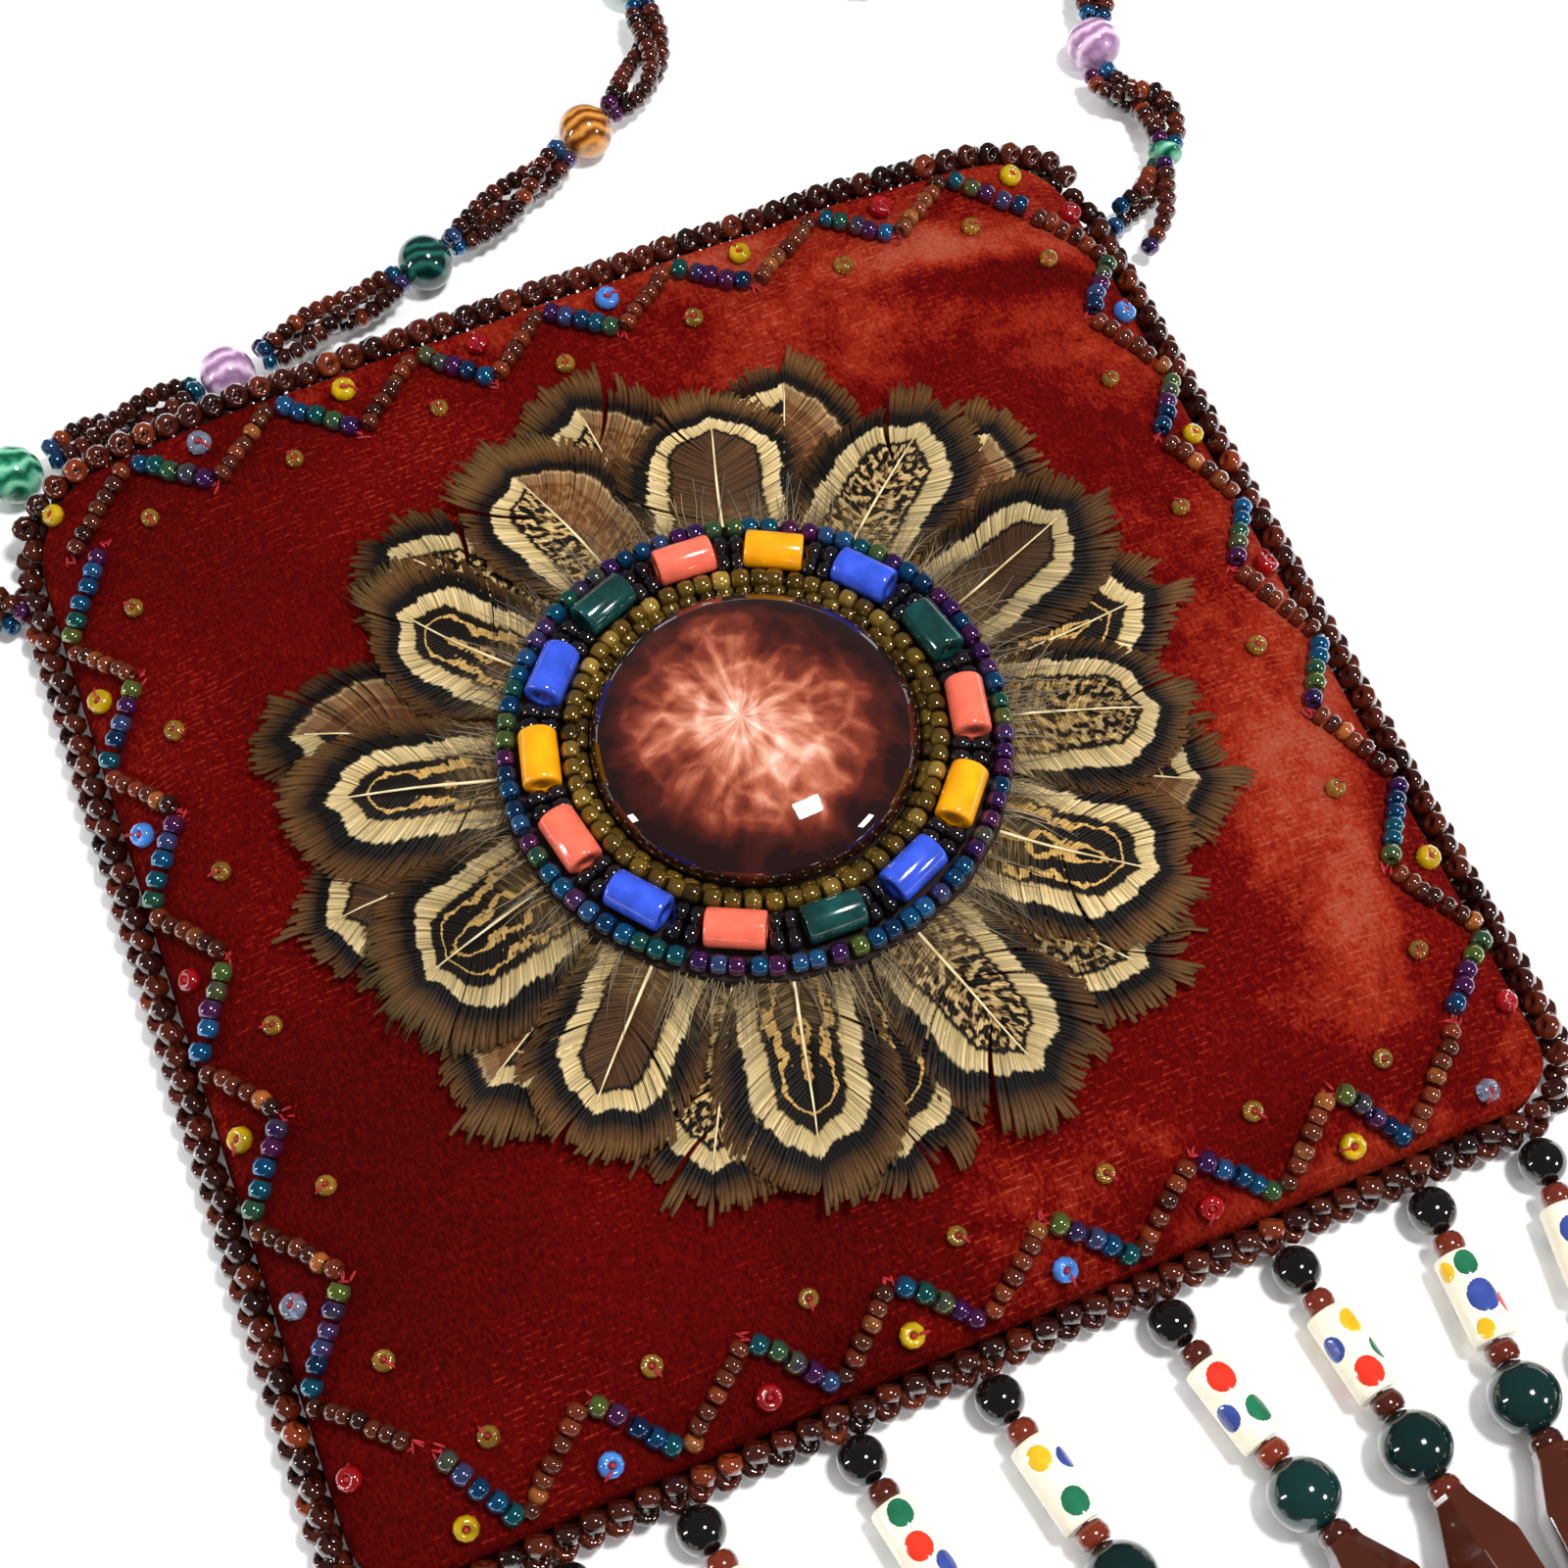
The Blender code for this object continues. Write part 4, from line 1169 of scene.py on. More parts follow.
class Feather:
    """One body feather, laid out flat: across is in metres from the quill, reach from the rosette's centre."""

    barbs = 64
    steps = 9

    def __init__(self, chance, angle, lift, reach, half_width, tilt, bend, fringe):
        self.chance = chance
        self.angle = angle
        self.lift = lift
        self.root = 0.022
        self.reach = reach
        self.half_width = half_width
        self.tilt = tilt
        self.bend = bend
        self.fringe = fringe
        self.kind = chance.random()
        self.tone = chance.uniform(0.62, 1.02)

    def place(self, reach, across, rise=0.0):
        """A point of the laid-out feather, draped over the panel."""
        share = (reach - self.root) / (self.reach - self.root)
        across = across + self.bend * share * share
        out = Vector((math.cos(self.angle), math.sin(self.angle)))
        side = Vector((-out.y, out.x))
        flat = out * reach + side * across
        arch = 0.0010 * (1 - min(1.0, (across / self.half_width) ** 2))
        tip_up = 0.0018 * max(0.0, share - 0.55) ** 2
        return on_velvet(flat.x, flat.y, self.lift + arch + tip_up + self.tilt * across + rise)

    def rim(self, turn):
        """The vane's outline: turn 0 is low on its side, turn 1 is the middle of its tip."""
        side_share = 0.55
        belly = self.root + 0.60 * (self.reach - self.root)
        if turn < side_share:
            t = turn / side_share
            reach = self.root + (belly - self.root) * t
            return reach, self.half_width * (0.25 + 0.75 * math.sin(math.pi / 2 * t) ** 1.2)
        t = (turn - side_share) / (1 - side_share) * math.pi / 2
        return belly + (self.reach - belly) * math.sin(t), self.half_width * math.cos(t)

    def barb_line(self, turn, side):
        """Points along one barb, from the quill out to the outline, with its share of the way."""
        quill_end = self.reach - self.fringe
        start = self.root + (quill_end - self.root) * turn ** 1.2 * 0.98
        end_reach, end_across = self.rim(turn)
        points = []
        for i in range(self.steps + 1):
            t = i / self.steps
            ease = 1 - (1 - t) ** 1.5
            reach = start + (end_reach - start) * (0.75 * t + 0.25 * t * t)
            points.append((reach, side * end_across * (0.55 * t + 0.45 * ease), t))
        return points

    def depth(self, reach, across):
        """Where the colour bands run: 0.5 is the outer edge of the cream band, 0.05 is one millimetre."""
        cream_reach = self.reach - self.fringe
        cream_half = self.half_width - 0.55 * self.fringe
        belly = self.root + 0.60 * (self.reach - self.root)
        forward = max(0.0, reach - belly) / max(0.002, cream_reach - belly)
        share = math.sqrt((across / cream_half) ** 2 + forward ** 2)
        point = 0.0011 * math.exp(-(across / 0.0011) ** 2) * min(1.0, forward)
        return 0.5 + ((share - 1) * cream_half - point) * 50


class BAG_OT_feathers(bpy.types.Operator):
    """Lay the pheasant feathers out round the medallion"""

    bl_idname = "bag.feathers"
    bl_label = "Feather rosette"

    def execute(self, context):
        chance = random.Random(41)
        look = materials_once(pheasant)
        ivory = materials_once(quill_ivory)
        reach = context.scene.bag_sizes.feather_reach
        for number in range(1, 25):
            upper = number % 2 == 0
            angle = (number - 1) * math.pi / 12 + chance.uniform(-0.06, 0.06)
            feather = Feather(
                chance,
                angle,
                0.0019 if upper else 0.0006,
                reach * (chance.uniform(0.90, 0.98) if upper else chance.uniform(0.97, 1.03)),
                chance.uniform(0.0108, 0.0128),
                chance.uniform(0.01, 0.06) * chance.choice((-1, 1, 1)),
                chance.uniform(-0.004, 0.004),
                chance.uniform(0.0066, 0.0086),
            )
            self.add_feather(number, feather, look, ivory)
        self.add_down(chance)
        return {"FINISHED"}

    def add_feather(self, number, feather, look, ivory):
        points = []
        faces = []
        place_uv = []
        barb_uv = []
        chance = feather.chance
        count = feather.barbs
        length_full = feather.reach - feather.root
        for side in (-1, 1):
            split = 0.0
            plate = 1.0
            for barb in range(count):
                if chance.random() < 0.10:
                    split = chance.uniform(-1.2, 1.2)
                    plate = chance.uniform(0.90, 1.02)
                near = feather.barb_line(barb / count, side)
                far = feather.barb_line((barb + 1) / count, side)
                longer = plate * chance.uniform(0.97, 1.01)
                wave = chance.uniform(-0.22, 0.22)
                start = len(points)
                for (reach_a, across_a, t), (reach_b, across_b, _) in zip(near, far):
                    fringe = max(0.0, (t - 0.66) / 0.34)
                    shut = 1.06 - 0.34 * fringe ** 3
                    drift = (split + wave * fringe) * fringe * fringe
                    stretch = 1 + (longer - 1) * t
                    curl = 0.0003 * fringe * chance.uniform(-1, 1)
                    for edge in (0.5 - 0.5 * shut, 0.5 + 0.5 * shut):
                        share = edge + drift
                        reach = reach_a + (reach_b - reach_a) * share
                        across = across_a + (across_b - across_a) * share
                        reach = feather.root + (reach - feather.root) * stretch
                        points.append(feather.place(reach, across * stretch, curl))
                        place_uv.append(((reach - feather.root) / length_full, feather.depth(reach, across)))
                        barb_uv.append((side * (barb + edge) / count, t))
                for step in range(feather.steps):
                    a = start + 2 * step
                    quad = (a, a + 1, a + 3, a + 2)
                    faces.append(quad if side > 0 else quad[::-1])
        mesh = mesh_from_arrays("vane", points, faces)
        self.write_uv(mesh, "place", place_uv)
        self.write_uv(mesh, "barb", barb_uv)
        self.write_uv(mesh, "look", [(feather.kind, feather.tone)] * len(points))
        name = f"pheasant_feather_{number:02d}"
        quill = self.quill_mesh(feather)
        item = joined(name, [mesh, quill], [look, ivory])
        apply_modifier(item, "SOLIDIFY", thickness=0.00006, offset=0.0)
        settle(item, name, [f"feather_{number:02d}"])

    def write_uv(self, mesh, name, values):
        layer = mesh.uv_layers.new(name=name)
        corners = np.empty(len(mesh.loops), np.int32)
        mesh.loops.foreach_get("vertex_index", corners)
        layer.data.foreach_set("uv", np.asarray(values, np.float32)[corners].ravel())

    def quill_mesh(self, feather):
        sides = 5
        stations = 10
        points = []
        faces = []
        end = feather.reach - feather.fringe - 0.0004
        for i in range(stations):
            reach = feather.root + (end - feather.root) * i / (stations - 1)
            radius = 0.00026 * (1 - 0.75 * i / (stations - 1))
            for k in range(sides):
                angle = 2 * math.pi * k / sides
                across = radius * math.cos(angle)
                points.append(feather.place(reach, across, 0.0001 + radius * math.sin(angle)))
        for i in range(stations - 1):
            for k in range(sides):
                j = (k + 1) % sides
                faces.append((i * sides + k, (i + 1) * sides + k, (i + 1) * sides + j, i * sides + j))
        faces.append(tuple(range(sides)))
        faces.append(tuple((stations - 1) * sides + k for k in reversed(range(sides))))
        return mesh_from_arrays("quill", points, faces)

    def add_down(self, chance):
        """Soft grey-brown afterfeather that spreads from under the medallion."""
        made, tree, shader = new_material("feather_down", Roughness=0.8, Sheen_Weight=0.3)
        place = add_node(tree, "ShaderNodeTexCoord")
        patch = add_node(tree, "ShaderNodeTexNoise", {"Scale": 120.0}, [("Vector", place.outputs["Object"])])
        ramp = add_node(tree, "ShaderNodeValToRGB", {}, [("Fac", patch.outputs["Fac"])])
        set_stops(ramp, ((0.3, "3a3026"), (0.55, "6b5c46"), (0.75, "a08c66")))
        tree.links.new(ramp.outputs["Color"], shader.inputs["Base Color"])
        points = []
        faces = []
        for _ in range(620):
            angle = chance.uniform(0, 2 * math.pi)
            turn = chance.uniform(-0.35, 0.35)
            length_here = chance.uniform(0.004, 0.013)
            start = len(points)
            steps = 5
            lift = chance.uniform(0.0016, 0.0034)
            sway = chance.uniform(-0.0012, 0.0012)
            for i in range(steps + 1):
                t = i / steps
                reach = 0.0270 + length_here * t
                across = math.tan(turn) * length_here * t + sway * math.sin(3 * t)
                half = 0.00011 * (1 - 0.85 * t)
                out = Vector((math.cos(angle), math.sin(angle)))
                side = Vector((-out.y, out.x))
                for edge in (-half, half):
                    flat = out * reach + side * (across + edge)
                    points.append(on_velvet(flat.x, flat.y, lift + 0.0006 * math.sin(math.pi * t)))
            faces += [(start + 2 * i, start + 2 * i + 1, start + 2 * i + 3, start + 2 * i + 2) for i in range(steps)]
        item = joined("feather_down", [mesh_from_arrays("down", points, faces)], [made])
        apply_modifier(item, "SOLIDIFY", thickness=0.00006, offset=0.0)
        settle(item, "feather_down")


# The fringe's strands, from the hinge down
FRINGE_SLOPE = 3.0
FRINGE_PIVOT_HEIGHT = 0.0028
STRAND_START = 0.0030
DROP_RADIUS = 0.0050
DROP_LENGTH = 0.0190


def drop_mesh():
    """A six-sided stone drop: it widens below its shoulder and narrows again at the foot."""
    clear_selection()
    bpy.ops.mesh.primitive_cylinder_add(vertices=6, radius=0.45, depth=0.001, end_fill_type="NGON")
    item = bpy.context.active_object
    levels = ((0.31, 1.0), (0.80, 0.92), (1.0, 0.5))
    bpy.ops.object.mode_set(mode="EDIT")
    bpy.ops.mesh.select_mode(type="FACE")
    bpy.ops.mesh.select_all(action="DESELECT")
    bpy.ops.object.mode_set(mode="OBJECT")
    for face in item.data.polygons:
        face.select = face.normal.z < -0.9
    bpy.ops.object.mode_set(mode="EDIT")
    done = 0.0
    width = 0.45
    for place, radius in levels:
        bpy.ops.mesh.extrude_region_move(TRANSFORM_OT_translate={"value": (0, 0, -(place - done))})
        bpy.ops.transform.resize(value=(radius / width, radius / width, 1.0))
        done, width = place, radius
    bpy.ops.mesh.select_all(action="SELECT")
    bpy.ops.mesh.bevel(offset=0.035, segments=2, affect="EDGES")
    bpy.ops.object.mode_set(mode="OBJECT")
    mesh = item.data
    bpy.data.objects.remove(item)
    return mesh


class BAG_OT_fringe(bpy.types.Operator):
    """String the nine bead strands along the bottom edge"""

    bl_idname = "bag.fringe"
    bl_label = "Fringe"

    def execute(self, context):
        chance = random.Random(51)
        jet = bead_glass("polished_black_stone", ((0.0, "060506"), (1.0, "100d0e")), 0.07, 0.0)
        brown = bead_glass("red_brown_glass_beads", ((0.0, "3a130b"), (1.0, "7a2b16")), 0.14, 0.2)
        white = glaze("white_glaze", "ece4cc", 0.05)
        stone = bead_glass("dark_green_stone", ((0.0, "031c1c"), (1.0, "0a3330")), 0.10, 0.0)
        goldstone = bead_glass("brown_faceted_stone", ((0.0, "351409"), (1.0, "4a1d0f")), 0.16, 0.0)
        paints = [glaze(f"{name}_dot", code, 0.15) for name, code in self.dot_colours]
        ball = round_bead_mesh(28, 16)
        seed = seed_bead_mesh(18, 10)
        tube = tube_bead_mesh()
        drop = drop_mesh()
        for number, (x, lean) in enumerate(zip(FRINGE_PLACES, FRINGE_LEANS), start=1):
            pointing = Matrix.Rotation(math.radians(lean), 4, "Z") @ Matrix.Rotation(-math.pi / 2, 4, "X")
            tipped = Matrix.Rotation(-math.radians(FRINGE_SLOPE), 4, "X")
            base = Matrix.Translation((x, -HALF_HEIGHT, FRINGE_PIVOT_HEIGHT)) @ tipped @ pointing

            def at(distance, radius, half_length):
                spin = Matrix.Rotation(chance.uniform(0, 6), 4, "Z")
                size = Matrix.Diagonal((radius, radius, half_length, 1.0))
                return base @ Matrix.Translation((0, 0, -distance)) @ spin @ size

            place = STRAND_START + 0.0030
            black = at(place, 0.0028, 0.0028)
            place += 0.0030
            spacers = [at(place + 0.0013, 0.0019, 0.0020)]
            place += 0.0026
            tube_here = at(place + 0.0053, 0.00265, 0.0053)
            tube_middle = place + 0.0053
            place += 0.0106
            spacers.append(at(place + 0.0013, 0.0020, 0.0020))
            place += 0.0026 + 0.0040
            green = at(place, 0.0041, 0.0041)
            place += 0.0040
            spacers.append(at(place + 0.0013, 0.0020, 0.0020))
            place += 0.0026
            stone_drop = at(place, DROP_RADIUS, DROP_LENGTH)
            place += DROP_LENGTH
            spacers.append(at(place + 0.0010, 0.0014, 0.0016))
            meshes = [
                copies("black", ball, [black], [0.3]),
                copies("spacers", seed, spacers, [chance.random() for _ in spacers]),
                copies("tube", tube, [tube_here], [0.5]),
                copies("green", ball, [green], [chance.random()]),
                copies("drop", drop, [stone_drop], [chance.random()]),
            ]
            meshes[-1].shade_flat()
            looks = [jet, brown, white, stone, goldstone]
            for paint, mesh in zip(paints, self.dots(base, tube_middle, number)):
                if mesh:
                    meshes.append(mesh)
                    looks.append(paint)
            thread = made_by(bpy.ops.mesh.primitive_cylinder_add, vertices=8, radius=0.0004, depth=1.0)
            start = STRAND_START - 0.0003
            end = place - 0.001
            run = base @ Matrix.Translation((0, 0, -(start + end) / 2)) @ Matrix.Diagonal((1, 1, end - start, 1))
            thread.transform(run)
            meshes.append(thread)
            looks.append(materials_once(dark_thread))
            item = joined(f"bead_strand_{number}", meshes, looks)
            settle(item, f"bead_strand_{number}", [f"fringe_strand_{number}"], f"fringe_strand_{number}")
        return {"FINISHED"}

    dot_colours = (("red", "d8301c"), ("yellow", "e0b020"), ("green", "1d6848"), ("blue", "34468c"))

    # Dots on the upper side of each tube: colour, degrees round from the top, millimetres towards the bag, radius
    dot_plans = (
        (("blue", 10, 3.0, 1.4), ("red", -40, 0.2, 1.5), ("green", 25, -2.6, 1.6)),
        (("yellow", -10, 2.8, 1.4), ("green", 50, 0.6, 1.3), ("red", -15, -2.6, 1.6)),
        (("red", 25, 2.6, 1.5), ("blue", -30, -0.4, 1.6), ("yellow", 20, -3.4, 1.3)),
        (("green", 0, 3.4, 1.5), ("red", -5, -0.6, 1.6), ("blue", 35, -3.4, 1.3)),
        (("yellow", -15, 2.8, 1.4), ("blue", 50, 1.6, 1.3), ("green", 0, -3.0, 1.6)),
        (("red", 0, 2.7, 1.7), ("blue", -52, -1.2, 1.5), ("green", 30, -2.2, 1.6)),
        (("yellow", 28, 2.8, 1.4), ("blue", -55, 1.0, 1.4), ("red", -8, -3.0, 1.7), ("green", 62, -1.0, 1.4)),
        (
            ("green", 0, 3.5, 1.4),
            ("blue", 4, -0.5, 1.9),
            ("yellow", -58, 3.4, 1.1),
            ("yellow", -28, -4.0, 1.1),
            ("red", 66, -1.6, 1.3),
        ),
        (("blue", -10, 1.8, 1.6), ("green", 4, -2.8, 1.6), ("red", 60, 3.0, 1.3)),
    )

    def dots(self, base, middle, number):
        """Painted dots on a tube, each a thin round skin of glaze that follows the curve."""
        upper = self.dot_plans[number - 1]
        under = [(name, side + 180, -up, radius) for name, side, up, radius in self.dot_plans[-number]]
        meshes = []
        for colour_name, _ in self.dot_colours:
            points = []
            faces = []
            for name, side, up, radius in (*upper, *under):
                if name == colour_name:
                    self.add_dot(points, faces, base, math.radians(side - 90), up / 1000 - middle, radius / 1000)
            if points:
                meshes.append(mesh_from_arrays("dots", points, faces))
            else:
                meshes.append(None)
        return meshes

    def add_dot(self, points, faces, base, angle, height, size):
        first = len(points)
        rings = 5
        around = 28
        for ring in range(rings + 1):
            reach = size * ring / rings
            skin = 0.00270 if ring < rings else 0.00264
            for i in range(around if ring else 1):
                turn = 2 * math.pi * i / around
                swing = angle + reach * math.cos(turn) / 0.00265
                up = height + 1.06 * reach * math.sin(turn)
                points.append(base @ Vector((skin * math.cos(swing), skin * math.sin(swing), up)))
        for i in range(around):
            j = (i + 1) % around
            faces.append((first, first + 1 + i, first + 1 + j))
            for ring in range(rings - 1):
                a = first + 1 + ring * around
                faces.append((a + i, a + around + i, a + around + j, a + j))


# The strap: the two stretches in view, as part.py lays them, and the coil between them
STRAP_DIAMETER = 0.0075
STRAP_LOW = 0.00385
COIL_CENTRE = Vector((0.0855, 0.1580, 0.0))
COIL_RADIUS = 0.0410
COIL_LIFT = 0.0013
STRAP_LEFT = (
    (-0.0778, 0.0590),
    (-0.0786, 0.0700),
    (-0.0745, 0.0790),
    (-0.0640, 0.0818),
    (-0.0410, 0.0848),
    (-0.0095, 0.0920),
    (0.0190, 0.1047),
    (0.0340, 0.1185),
)
STRAP_RIGHT = (
    (0.0915, 0.0920),
    (0.0942, 0.0780),
    (0.0905, 0.0680),
    (0.0822, 0.0590),
)


def soft_step(value, start, end):
    t = max(0.0, min(1.0, (value - start) / (end - start)))
    return t * t * (3 - 2 * t)


def strap_path():
    """The strap's middle line: up the left, round the coil, and back to the right corner."""
    half = STRAP_DIAMETER / 2
    start_angle = math.radians(196)
    sweep = math.radians(228 + 3 * 360)
    coil = []
    count = 96
    for i in range(count + 1):
        turned = sweep * i / count
        turns = turned / (2 * math.pi)
        inward = soft_step(turns, 0.85, 1.1) - soft_step(turns, 2.75, 3.0)
        raised = soft_step(turns, 1.85, 2.05) - soft_step(turns, 3.45, 3.66)
        angle = start_angle - turned
        radius = COIL_RADIUS + half * (1 - 2 * inward)
        height = COIL_LIFT + half + STRAP_DIAMETER * raised
        offset = Vector((radius * math.cos(angle), radius * math.sin(angle), height))
        coil.append(COIL_CENTRE + offset)
    knots = [(x, y, STRAP_LOW) for x, y in STRAP_LEFT] + coil[2:-2] + [(x, y, STRAP_LOW) for x, y in STRAP_RIGHT]
    return smooth_line(knots, 6)


class BAG_OT_strap(bpy.types.Operator):
    """Twist and lay the three-strand strap with its stones"""

    bl_idname = "bag.strap"
    bl_label = "Strap"

    def execute(self, context):
        chance = random.Random(61)
        line = [Vector(p) for p in strap_path()]
        steps = [(b - a).length for a, b in zip(line, line[1:])]
        total = sum(steps)
        stone_half = context.scene.bag_sizes.strap_stone / 2
        stones = [0.027, 0.0575, 0.0885, 0.1195]
        last_two = [total - 0.0380, total - 0.0135]
        spare = last_two[0] - stones[-1]
        many = round(spare / 0.0306)
        stones += [stones[-1] + spare * (i + 1) / many for i in range(many)]
        stones.append(last_two[1])
        seed = seed_bead_mesh(9, 5)
        brown_places, brown_tints, iris_places, iris_tints = [], [], [], []
        table = self.samples(line, 0.0006)
        bead = 0.00146
        clear = stone_half + 0.0003
        disc_clear = stone_half * 0.28 + 0.0003
        clears = [clear] * (len(stones) + 2)
        clears[-2] = disc_clear
        stops = list(zip([-clear, *stones, total + clear], clears))
        for (before, room_before), (after, room_after) in zip(stops, stops[1:]):
            start, end = before + room_before, after - room_after
            inside = [sample for sample in table if start <= sample[2] <= end]
            for strand in range(3):
                own = [self.strand_point(sample, strand, start, end, total) for sample in inside]
                beads = along(own, 2 * BEAD_HALF * bead)
                for index, (place, direction) in enumerate(beads):
                    size = bead * chance.uniform(0.92, 1.04)
                    placement = axis_frame(place, direction, chance.uniform(0, 3), (size, size, bead * 1.02))
                    if index in (0, len(beads) - 1):
                        iris_places.append(placement)
                        iris_tints.append(chance.random())
                    else:
                        brown_places.append(placement)
                        brown_tints.append(chance.random())
        meshes = [
            copies("strap_brown", seed, brown_places, brown_tints),
            copies("strap_iris", seed, iris_places, iris_tints),
        ]
        looks = [materials_once(brown_glass), materials_once(iris_glass)]
        self.add_stones(line, stones, stone_half, meshes, looks, chance)
        strung = joined("beaded_strap", meshes, looks)
        strap = settle(strung, "beaded_strap", ["strap_left", "strap_coil", "strap_right"])
        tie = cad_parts["strap_tie"]
        tie.data.materials.clear()
        tie.data.materials.append(materials_once(dark_thread))
        return {"FINISHED"}

    def samples(self, line, pitch):
        found = []
        reach = pitch / 2
        passed = 0.0
        for a, b in zip(line, line[1:]):
            span = (b - a).length
            while reach <= passed + span:
                found.append((a.lerp(b, (reach - passed) / span), (b - a).normalized(), reach))
                reach += pitch
            passed += span
        return found

    def strand_point(self, sample, strand, start, end, total):
        """Where one strand runs: all three meet in the stones' holes and part between them."""
        centre, direction, reach = sample
        share = (reach - start) / (end - start)
        pull = Vector((0.0, 0.0, 0.0))
        if start <= 0:
            pull.x = 0.0022 * max(0.0, 1 - 3 * share) ** 2
            share = 0.35 + 0.65 * share
        if end >= total:
            pull.x = -0.0030 * max(0.0, 2 * share - 1) ** 2
            pull.y = 0.0028 * (strand - 1) * max(0.0, 2 * share - 1)
            share = 0.65 * share
        spread = 0.0005 + 0.0014 * max(0.0, math.sin(math.pi * share)) ** 0.5
        angle = strand * 2 * math.pi / 3 + 150 * reach + 0.5 * math.sin(reach * 90 + strand)
        side = direction.cross(Vector((0, 0, 1))).normalized()
        up = side.cross(direction)
        return centre + pull + side * math.cos(angle) * spread * 1.15 + up * math.sin(angle) * spread * 0.8

    def add_stones(self, line, stones, half, meshes, looks, chance):
        kinds = (
            ("malachite", ((0.0, "0a4a34"), (0.5, "2c8a66"), (1.0, "7fc0a0"))),
            ("lilac_stone", ((0.0, "8a6488"), (0.5, "b08cae"), (1.0, "d8bcd4"))),
            ("dark_green_stone", ((0.0, "031c1c"), (0.6, "0c3a34"), (1.0, "1c5a50"))),
            ("tiger_eye", ((0.0, "5a2c08"), (0.5, "9a5a1c"), (1.0, "c88a3c"))),
        )
        ball = round_bead_mesh(24, 14)
        placed = [[] for _ in kinds]
        samples = self.samples(line, 0.0005)
        for index, stone in enumerate(stones):
            centre, direction, _ = min(samples, key=lambda s: abs(s[2] - stone))
            kind = index % 4
            size = (half, half, half * 0.94)
            if index == len(stones) - 1:
                kind = 0
                size = (half * 0.62, half * 0.62, half * 0.28)
            elif index == len(stones) - 2:
                kind = 1
            placed[kind].append(axis_frame(centre, direction, chance.uniform(0, 3), size))
        for (name, stops), placements in zip(kinds, placed):
            made, tree, shader = new_material(f"polished_{name}", Roughness=0.12, Coat_Weight=0.6)
            place = add_node(tree, "ShaderNodeTexCoord")
            bands = add_node(
                tree,
                "ShaderNodeTexWave",
                {"wave_type": "RINGS", "Scale": 170.0, "Distortion": 9.0, "Detail": 3.0},
                [("Vector", place.outputs["Object"])],
            )
            ramp = add_node(tree, "ShaderNodeValToRGB", {}, [("Fac", bands.outputs["Fac"])])
            set_stops(ramp, stops)
            tree.links.new(ramp.outputs["Color"], shader.inputs["Base Color"])
            meshes.append(copies(name, ball, placements, [0.5] * len(placements)))
            looks.append(made)


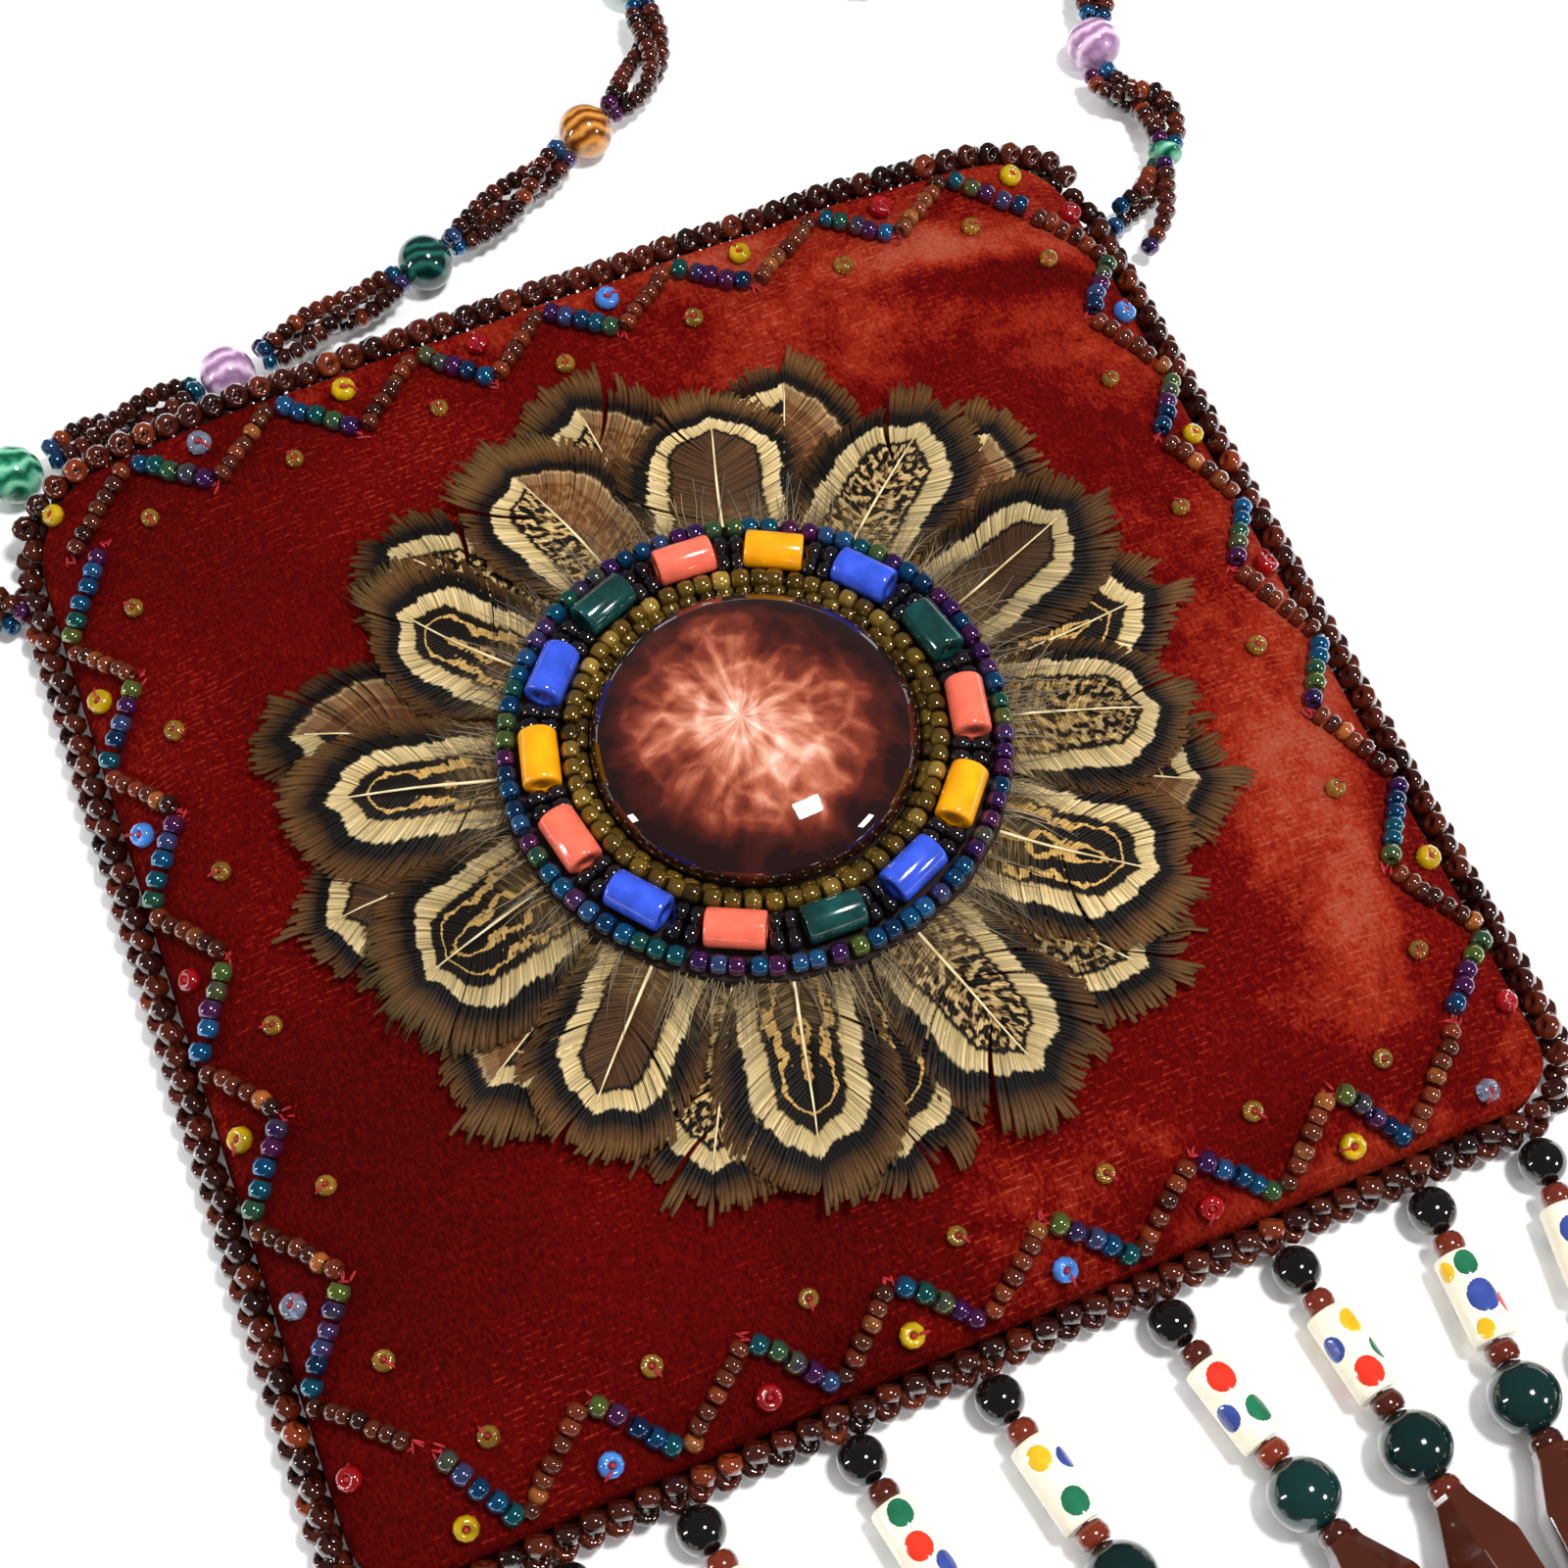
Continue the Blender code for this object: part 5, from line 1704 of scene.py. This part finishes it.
class BAG_OT_stage(bpy.types.Operator):
    """Set the camera, the lights and the white floor"""

    bl_idname = "bag.stage"
    bl_label = "Camera, lights and floor"

    def execute(self, context):
        scene = context.scene
        scene.view_settings.view_transform = "Standard"
        camera = bpy.data.objects.new("camera", bpy.data.cameras.new("camera"))
        scene.collection.objects.link(camera)
        camera.location = CAMERA_PLACE
        camera.rotation_euler = [math.radians(a) for a in CAMERA_TURN]
        camera.data.lens = CAMERA_LENS
        camera.data.sensor_width = 36.0
        camera.data.clip_start = 0.005
        scene.camera = camera
        self.add_light("key_softbox", (0.19, -0.15, 0.80), (0.12, 0.12), 6.0, 42.0)
        self.add_light("left_strip", (-0.80, 0.08, 0.20), (0.06, 0.30), 1.6)
        self.add_light("front_softbox", (0.55, -0.55, 0.45), (0.12, 0.12), 1.8)
        self.add_light("back_row", (-0.30, 0.62, 0.60), (0.34, 0.05), 1.6, 0.0, False)
        self.add_light("right_spot", (0.72, 0.30, 0.40), (0.10, 0.10), 1.0, 0.0, False)
        self.add_light("ceiling", (-0.1, 0.1, 1.5), (1.2, 1.2), 5.0, 0.0, False)
        self.add_world()
        self.add_floor()
        return {"FINISHED"}

    def add_light(self, name, place, size, watts, spin=0.0, mirrored=True):
        """An area lamp that faces the bag; a fill that isn't mirrored leaves no shape in glass."""
        lamp = bpy.data.lights.new(name, "AREA")
        lamp.shape = "RECTANGLE"
        lamp.size, lamp.size_y = size
        lamp.energy = watts
        item = bpy.data.objects.new(name, lamp)
        item.location = place
        turn = Vector(place).to_track_quat("Z", "Y").to_matrix().to_4x4() @ Matrix.Rotation(math.radians(spin), 4, "Z")
        item.rotation_euler = turn.to_euler()
        item.visible_glossy = mirrored
        bpy.context.scene.collection.objects.link(item)

    def add_world(self):
        """White behind everything, a soft fill for matt surfaces and a dim room for reflections."""
        world = bpy.data.worlds.new("studio")
        bpy.context.scene.world = world
        world.use_nodes = True
        tree = world.node_tree
        seen = add_node(tree, "ShaderNodeLightPath")
        direct = math_of(tree, "MAXIMUM", seen.outputs["Is Camera Ray"], seen.outputs["Is Transmission Ray"])
        matt = mapped(tree, seen.outputs["Is Glossy Ray"], 0.0, 1.0, 0.45, 0.10)
        strength = math_of(tree, "MAXIMUM", direct, matt)
        ground = tree.nodes["Background"]
        ground.inputs["Color"].default_value = linear("ffffff")
        tree.links.new(strength, ground.inputs["Strength"])

    def add_floor(self):
        made, tree, shader = new_material("white_paper_sweep", Roughness=0.9)
        shader.inputs["Specular IOR Level"].default_value = 0.1
        place = add_node(tree, "ShaderNodeTexCoord")
        tooth = add_node(tree, "ShaderNodeTexNoise", {"Scale": 600.0}, [("Vector", place.outputs["Object"])])
        ramp = add_node(tree, "ShaderNodeValToRGB", {}, [("Fac", tooth.outputs["Fac"])])
        set_stops(ramp, ((0.3, "fbfbfb"), (0.7, "ffffff")))
        tree.links.new(ramp.outputs["Color"], shader.inputs["Base Color"])
        clear_selection()
        bpy.ops.mesh.primitive_plane_add(size=6.0, location=(0, 0, -0.0006))
        floor = bpy.context.active_object
        floor.name = "paper_floor"
        floor.data.materials.append(made)


class BAG_PT_panel(bpy.types.Panel):
    """The bag's pieces, in the order they are made"""

    bl_label = "Beaded bag"
    bl_idname = "BAG_PT_panel"
    bl_space_type = "VIEW_3D"
    bl_region_type = "UI"
    bl_category = "Bag"

    def draw(self, context):
        for group in (context.scene.bag_sizes, context.scene.bag_colours):
            for name in group.__annotations__:
                self.layout.prop(group, name)
        for operator in PIECES:
            self.layout.operator(operator.bl_idname)


PIECES = (
    BAG_OT_stage,
    BAG_OT_strap,
    BAG_OT_pouch,
    BAG_OT_edging,
    BAG_OT_embroidery,
    BAG_OT_medallion,
    BAG_OT_feathers,
    BAG_OT_fringe,
)
CLASSES = (BagSizes, BagColours, *PIECES, BAG_PT_panel)


def register():
    for item in CLASSES:
        bpy.utils.register_class(item)
    bpy.types.Scene.bag_sizes = bpy.props.PointerProperty(type=BagSizes)
    bpy.types.Scene.bag_colours = bpy.props.PointerProperty(type=BagColours)


def unregister():
    del bpy.types.Scene.bag_sizes
    del bpy.types.Scene.bag_colours
    for item in reversed(CLASSES):
        bpy.utils.unregister_class(item)


def main():
    register()
    bpy.ops.bag.stage()
    bpy.ops.bag.strap()
    bpy.ops.bag.pouch()
    bpy.ops.bag.edging()
    bpy.ops.bag.embroidery()
    bpy.ops.bag.medallion()
    bpy.ops.bag.feathers()
    bpy.ops.bag.fringe()


if __name__ == "__main__":
    main()
